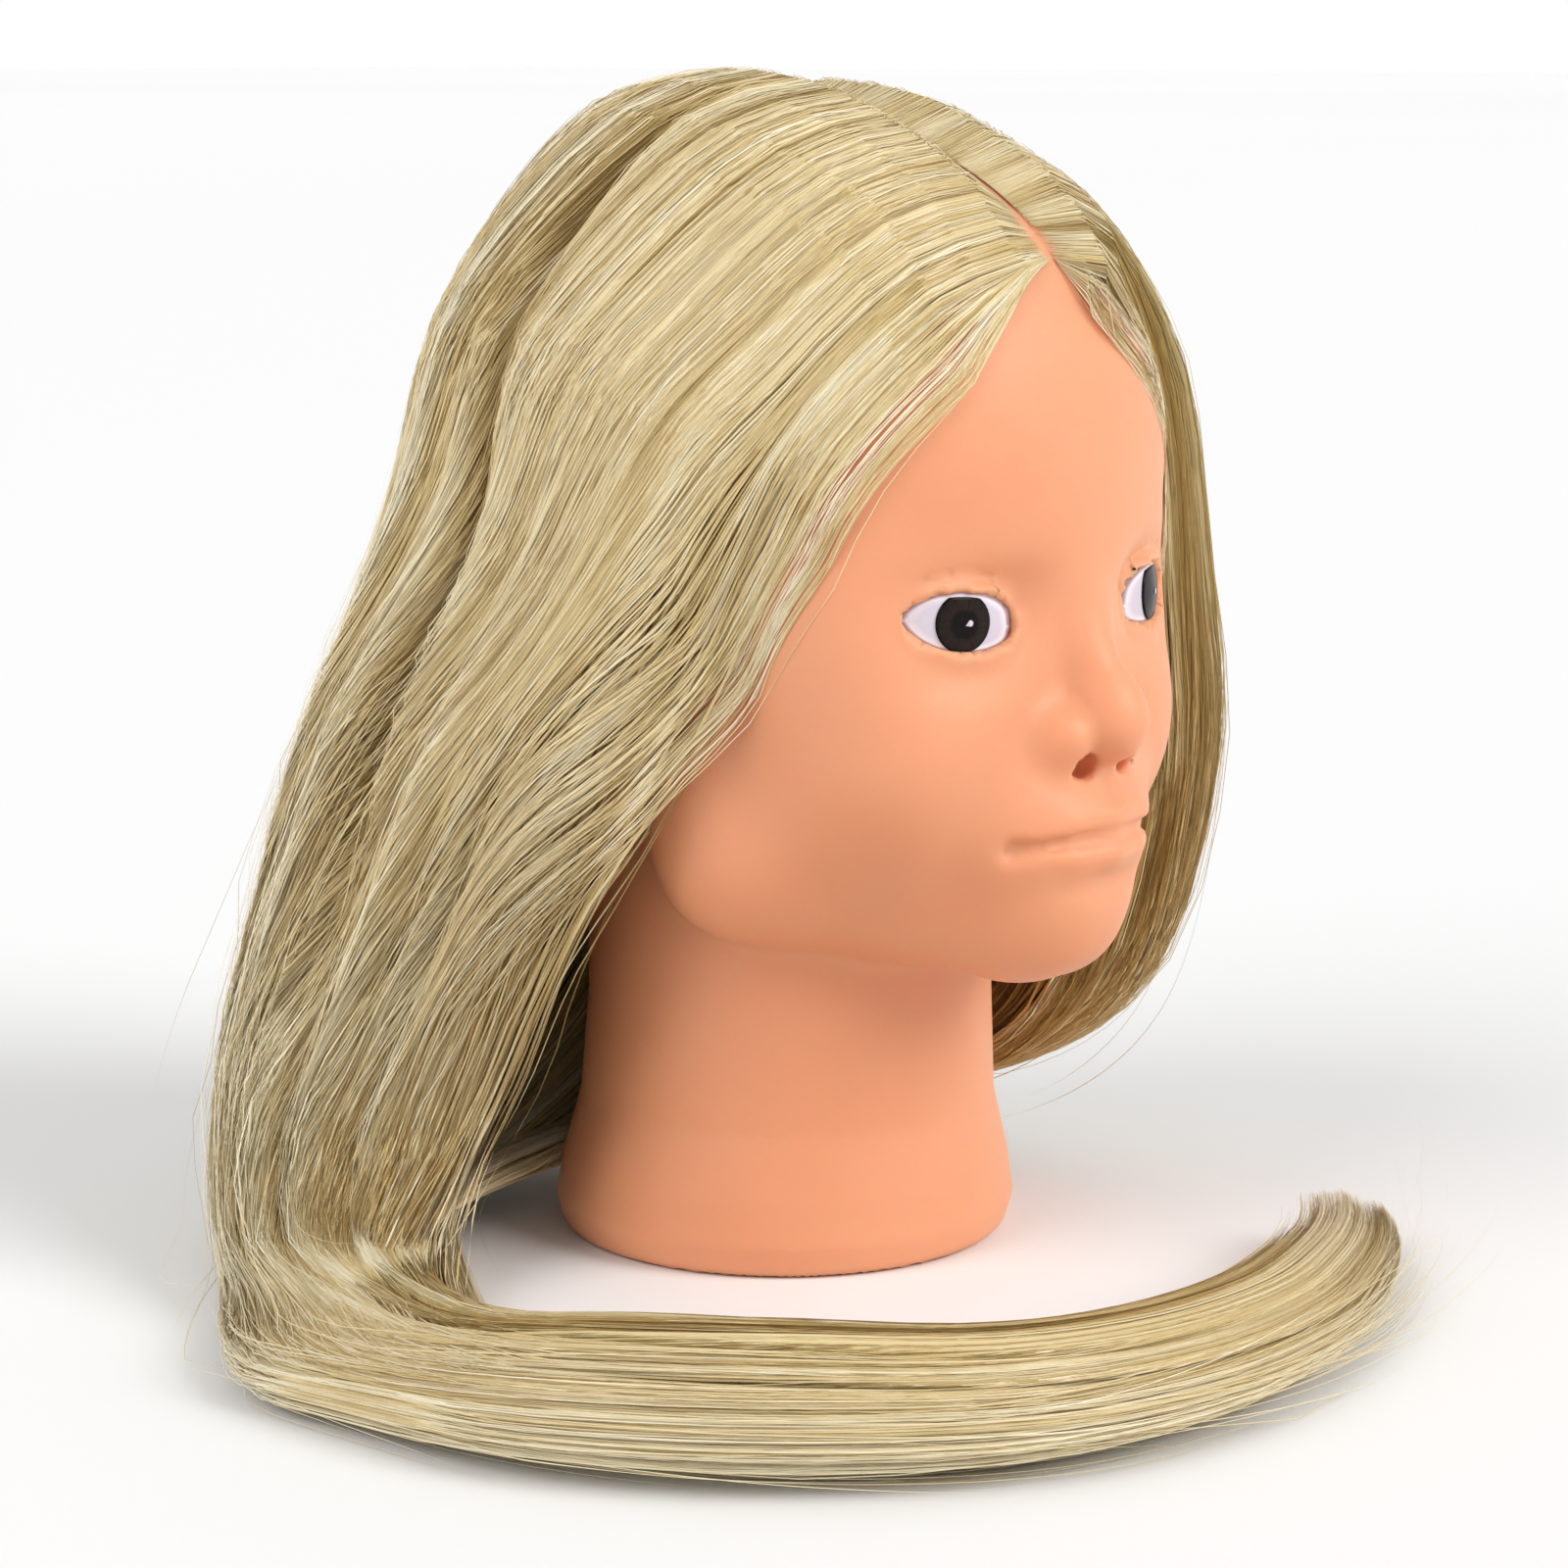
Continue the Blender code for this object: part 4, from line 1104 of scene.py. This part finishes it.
def make_ribbons(name, rng, count, columns, depth_range, width, wander, mat, t0=(0.0, 0.0), t1=(0.9, 1.0),
                 bias=0.0, spread=0.0, comb=(0.72, 1.02), surfacing=None, hug=None):
    """Thin ribbons along the guides: a top layer that is combed back, or one from below that surfaces."""
    column = rng.uniform(*columns, (count, 1)) if hug else spread_columns(rng, count, *columns)
    depth = rng.uniform(*depth_range, (count, 1))
    start = rng.uniform(*t0, (count, 1))
    stop = rng.uniform(*t1, (count, 1))
    s = np.linspace(0.0, 1.0, RIBBON_SAMPLES)[None]
    t = start + (stop - start) * s
    c = column + wander * 0.07 * waves(rng, t.shape, t) * np.clip(t * 5.0, 0.1, 1.0)
    c = c + 0.035 * LOCKS(c + 0.08, t) * np.clip(t * 5.0, 0.0, 1.0)
    c = np.clip(c, -SPILL, LAST_COLUMN + SPILL)
    c = combed(t, c, rng.uniform(*comb, (count, 1)))
    if surfacing is not None:
        depth = depth + np.interp(station_at(t, c), *surfacing)
    d = depth + wander * 0.02 * waves(rng, c.shape, t) + relief(t, c)
    if t0[1] > 0.0:
        rise = np.clip((t - start) / RISE, 0, 1)
        rise = rise * rise * (3 - 2 * rise)
        d = 1.0 + (d - 1.0) * rise
    P, N = hair_point(t, c, np.clip(d, -0.25, 1.0).astype(np.float32))
    if spread:
        tip = np.clip((t - TIP_START) / (1.0 - TIP_START), 0, 1)
        P = P + spread * tip[..., None] ** 2 * rng.standard_normal((count, 1, 3)).astype(np.float32)
    N /= np.maximum(np.linalg.norm(N, axis=-1, keepdims=True), 1e-3)
    flat = P.reshape(-1, 3)
    if hug:
        flat = press_down(flat, hug, np.interp(station_at(t, c), *HUG_FADE).ravel())
    flat = np.clip(push_out(flat, STRAND_CLEARANCE, under_hair), *room())
    tone = strand_tone(rng, t, c, depth, bias)
    return ribbon_mesh(name, rng, flat.reshape(P.shape), N, width, tone, t, mat)


FLYAWAYS = 260
FLYAWAY_SAMPLES = 40
FLYAWAY_WIDTH = 0.16
FLYAWAY_REACH = 9.0


def make_flyaways(rng, mat):
    """Single hairs that leave the locks and hang in the air, most of them near the right front edge."""
    count = FLYAWAYS
    near = rng.uniform(size=(count, 1)) < 0.6
    front = rng.uniform(-0.3, 2.5, (count, 1))
    elsewhere = rng.uniform(2.5, 11.3, (count, 1))
    column = np.where(near, front, elsewhere)
    start = rng.uniform(0.02, 0.75, (count, 1))
    stop = np.minimum(start + rng.uniform(0.15, 0.5, (count, 1)), 1.0)
    s = np.linspace(0.0, 1.0, FLYAWAY_SAMPLES)[None]
    t = start + (stop - start) * s
    c = combed(t, np.clip(column + 0.2 * waves(rng, t.shape, t), -SPILL, LAST_COLUMN + SPILL))
    P, N = hair_point(t, c, np.full(t.shape, 0.02, np.float32))
    N /= np.maximum(np.linalg.norm(N, axis=-1, keepdims=True), 1e-3)
    away = s[..., None] ** 1.5 * rng.uniform(0.0, FLYAWAY_REACH, (count, 1, 1)) * N
    drift = s[..., None] ** 2 * rng.normal(0.0, 7.0, (count, 1, 3))
    sway = waves(rng, t.shape, s * np.ones(t.shape), 2, 0.5, 2.0)
    drift += 2.5 * s[..., None] * sway[..., None] * np.cross(N, (0, 0, 1))
    flat = push_out((P + away + drift).reshape(-1, 3).astype(np.float32), 0.8, under_hair)
    flat = np.clip(flat, *room()).reshape(P.shape)
    tone = np.clip(rng.normal(0.75, 0.1, (count, 1)), 0, 1) * np.ones(t.shape)
    return ribbon_mesh("hair_flyaways", rng, flat, N.astype(np.float32), FLYAWAY_WIDTH, tone, t, mat)


HAIR_NODES = [n for n in sorted(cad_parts) if n.startswith("hair_")]
# depth below the surface of the lower layer, by station: it comes out from under the top layer
SURFACING = ((3.0, 4.0, 5.0, 6.0, 8.0, 10.0), (0.6, 0.42, 0.22, 0.12, 0.04, 0.0))
COAT_EDGES = (-SPILL, 0.8, 1.8, 2.8, 3.9, 5.5, 7.5, 9.5, 10.4, LAST_COLUMN + SPILL)
LOWER_BANDS = ((-0.25, 1.6), (1.6, 3.6))
UNDER_BANDS = ((-0.2, 5.5), (5.5, 11.3))
FRINGE_BANDS = ((-0.85, 0.3), (10.8, 11.6))
HAIR_SEED = 7


def make_hair():
    """Combed mass, then the ribbons over it: coat, lower and under layers, loose hairs and fringe."""
    mass = mass_material()
    strands = strand_material()
    rng = np.random.default_rng(HAIR_SEED)
    make_mass("hair_mass", 0.2, (1.05, 10.2), mass, HAIR_NODES)
    amount = 1.0
    for number, band in enumerate(zip(COAT_EDGES[:-1], COAT_EDGES[1:])):
        make_ribbons(f"hair_coat_{number}", rng, int(2000 * amount), band, (0.0, 0.12), 0.4, 1.0, strands,
                     t1=(0.92, 1.0))
    for number, band in enumerate(LOWER_BANDS):
        make_ribbons(f"hair_lower_{number}", rng, int(2000 * amount), band, (0.0, 0.14), 0.42, 1.2, strands,
                     t0=(0.2, 0.3), t1=(0.92, 1.0), bias=-0.06, comb=(0.1, 0.6), surfacing=SURFACING)
    for number, band in enumerate(UNDER_BANDS):
        make_ribbons(f"hair_under_{number}", rng, int(1800 * amount), band, (0.15, 0.7), 0.6, 1.5, strands,
                     t0=(0.02, 0.22), t1=(0.85, 1.0), comb=(0.2, 0.7))
    make_ribbons("hair_loose", rng, 700, (COAT_EDGES[0], COAT_EDGES[-1]), (-0.08, 0.03), 0.22, 3.0, strands,
                 t1=(0.75, 1.0), bias=0.12, spread=5.0)
    make_flyaways(rng, strands)
    for number, band in enumerate(FRINGE_BANDS):
        make_ribbons(f"hair_fringe_{number}", rng, 190, band, (-0.02, 0.1), 0.2, 2.0, strands,
                     t1=(0.5, 1.0), bias=0.1, comb=(0.75, 1.0), hug=2.0)


# --------------------------------------------------------
# Stage
# --------------------------------------------------------


FLOOR_HALF = 40.0
FLOOR_DROP = 0.0002
FLOOR_TONES = [(0.3, (0.90, 0.90, 0.90)), (0.7, (0.93, 0.93, 0.93))]
WHITE = (1.0, 1.0, 1.0)
GREY = (0.5, 0.5, 0.5)
SKY_TONES = [(0.0, WHITE), (0.16, WHITE), (0.4, GREY), (1.0, GREY)]
SUNS = (  # name, direction towards the light, strength, spread in degrees
    ("key", (0.22, -0.85, 0.62), 1.8, 32.0),
    ("rim", (-1.0, 0.2, 0.85), 1.15, 40.0),
)
CAMERA_LENS = 95.3
CAMERA_SENSOR = 36.0
CAMERA_HEIGHT = 0.287
CAMERA_AZIMUTH = math.radians(-50.0)
CAMERA_PITCH = math.radians(10.08)


def make_floor():
    """White table that runs out of sight."""
    mat, nt, sh = new_material("floor")
    grain = node(nt, "ShaderNodeTexNoise", Scale=6.0)
    nt.links.new(ramp(nt, grain.outputs["Fac"], FLOOR_TONES), sh.inputs["Base Color"])
    sh.inputs["Roughness"].default_value = 0.7
    me = bpy.data.meshes.new("floor")
    size = FLOOR_HALF
    corners = [(-size, -size, 0), (size, -size, 0), (size, size, 0), (-size, size, 0)]
    me.from_pydata(corners, [], [(0, 1, 2, 3)])
    me.materials.append(mat)
    floor = bpy.data.objects.new("floor", me)
    floor.location.z = -FLOOR_DROP
    bpy.context.scene.collection.objects.link(floor)


def make_world():
    """Soft white surroundings, darker overhead."""
    world = bpy.data.worlds.new("studio")
    world.use_nodes = True
    nt = world.node_tree
    back = nt.nodes["Background"]
    place = node(nt, "ShaderNodeTexCoord")
    part = node(nt, "ShaderNodeSeparateXYZ")
    nt.links.new(place.outputs["Generated"], part.inputs["Vector"])
    nt.links.new(ramp(nt, part.outputs["Z"], SKY_TONES), back.inputs["Color"])
    back.inputs["Strength"].default_value = 1.0
    bpy.context.scene.world = world


def make_lights():
    for name, toward, strength, spread in SUNS:
        light = bpy.data.lights.new(name, "SUN")
        light.energy = strength
        light.angle = math.radians(spread)
        ob = bpy.data.objects.new(name, light)
        bpy.context.scene.collection.objects.link(ob)
        ob.location = Vector(AXIS) + Vector(toward)
        ob.rotation_mode = "QUATERNION"
        ob.rotation_quaternion = Vector(toward).to_track_quat("Z", "Y")


def make_camera():
    """The photo's viewpoint, a metre from the head in plan."""
    cam = bpy.data.cameras.new("camera")
    cam.sensor_width = CAMERA_SENSOR
    cam.lens = CAMERA_LENS
    ob = bpy.data.objects.new("camera", cam)
    bpy.context.scene.collection.objects.link(ob)
    across, back = math.sin(CAMERA_AZIMUTH), math.cos(CAMERA_AZIMUTH)
    level, down = math.cos(CAMERA_PITCH), math.sin(CAMERA_PITCH)
    ob.location = Vector(AXIS) + Vector((across, -back, CAMERA_HEIGHT))
    ahead = Vector((-across * level, back * level, -down))
    ob.rotation_mode = "QUATERNION"
    ob.rotation_quaternion = ahead.to_track_quat("-Z", "Y")
    bpy.context.scene.camera = ob


def repaint_cad():
    """Better finishes on the CAD pieces that stay."""
    foam = plastic_material("vis_foam", (0.84, 0.76, 0.58), (0.72, 0.62, 0.44), (0.8, 0.95), 700.0, 0.5)
    plate = plastic_material("vis_plate", (0.80, 0.74, 0.66), (0.72, 0.66, 0.58), (0.4, 0.55), 260.0, 0.15)
    tube = plastic_material("vis_socket", (0.60, 0.56, 0.52), (0.50, 0.46, 0.42), (0.35, 0.5), 260.0, 0.15)
    for name, mat in (("foam_core", foam), ("neck_base_plate", plate), ("clamp_socket", tube)):
        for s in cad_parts[name].material_slots:
            s.material = mat


bpy.context.scene.view_settings.view_transform = "Standard"
make_camera()
make_floor()
make_world()
make_lights()
make_skin(skin_material())
make_eyes(eye_white_material(), iris_material())
repaint_cad()
make_hair()
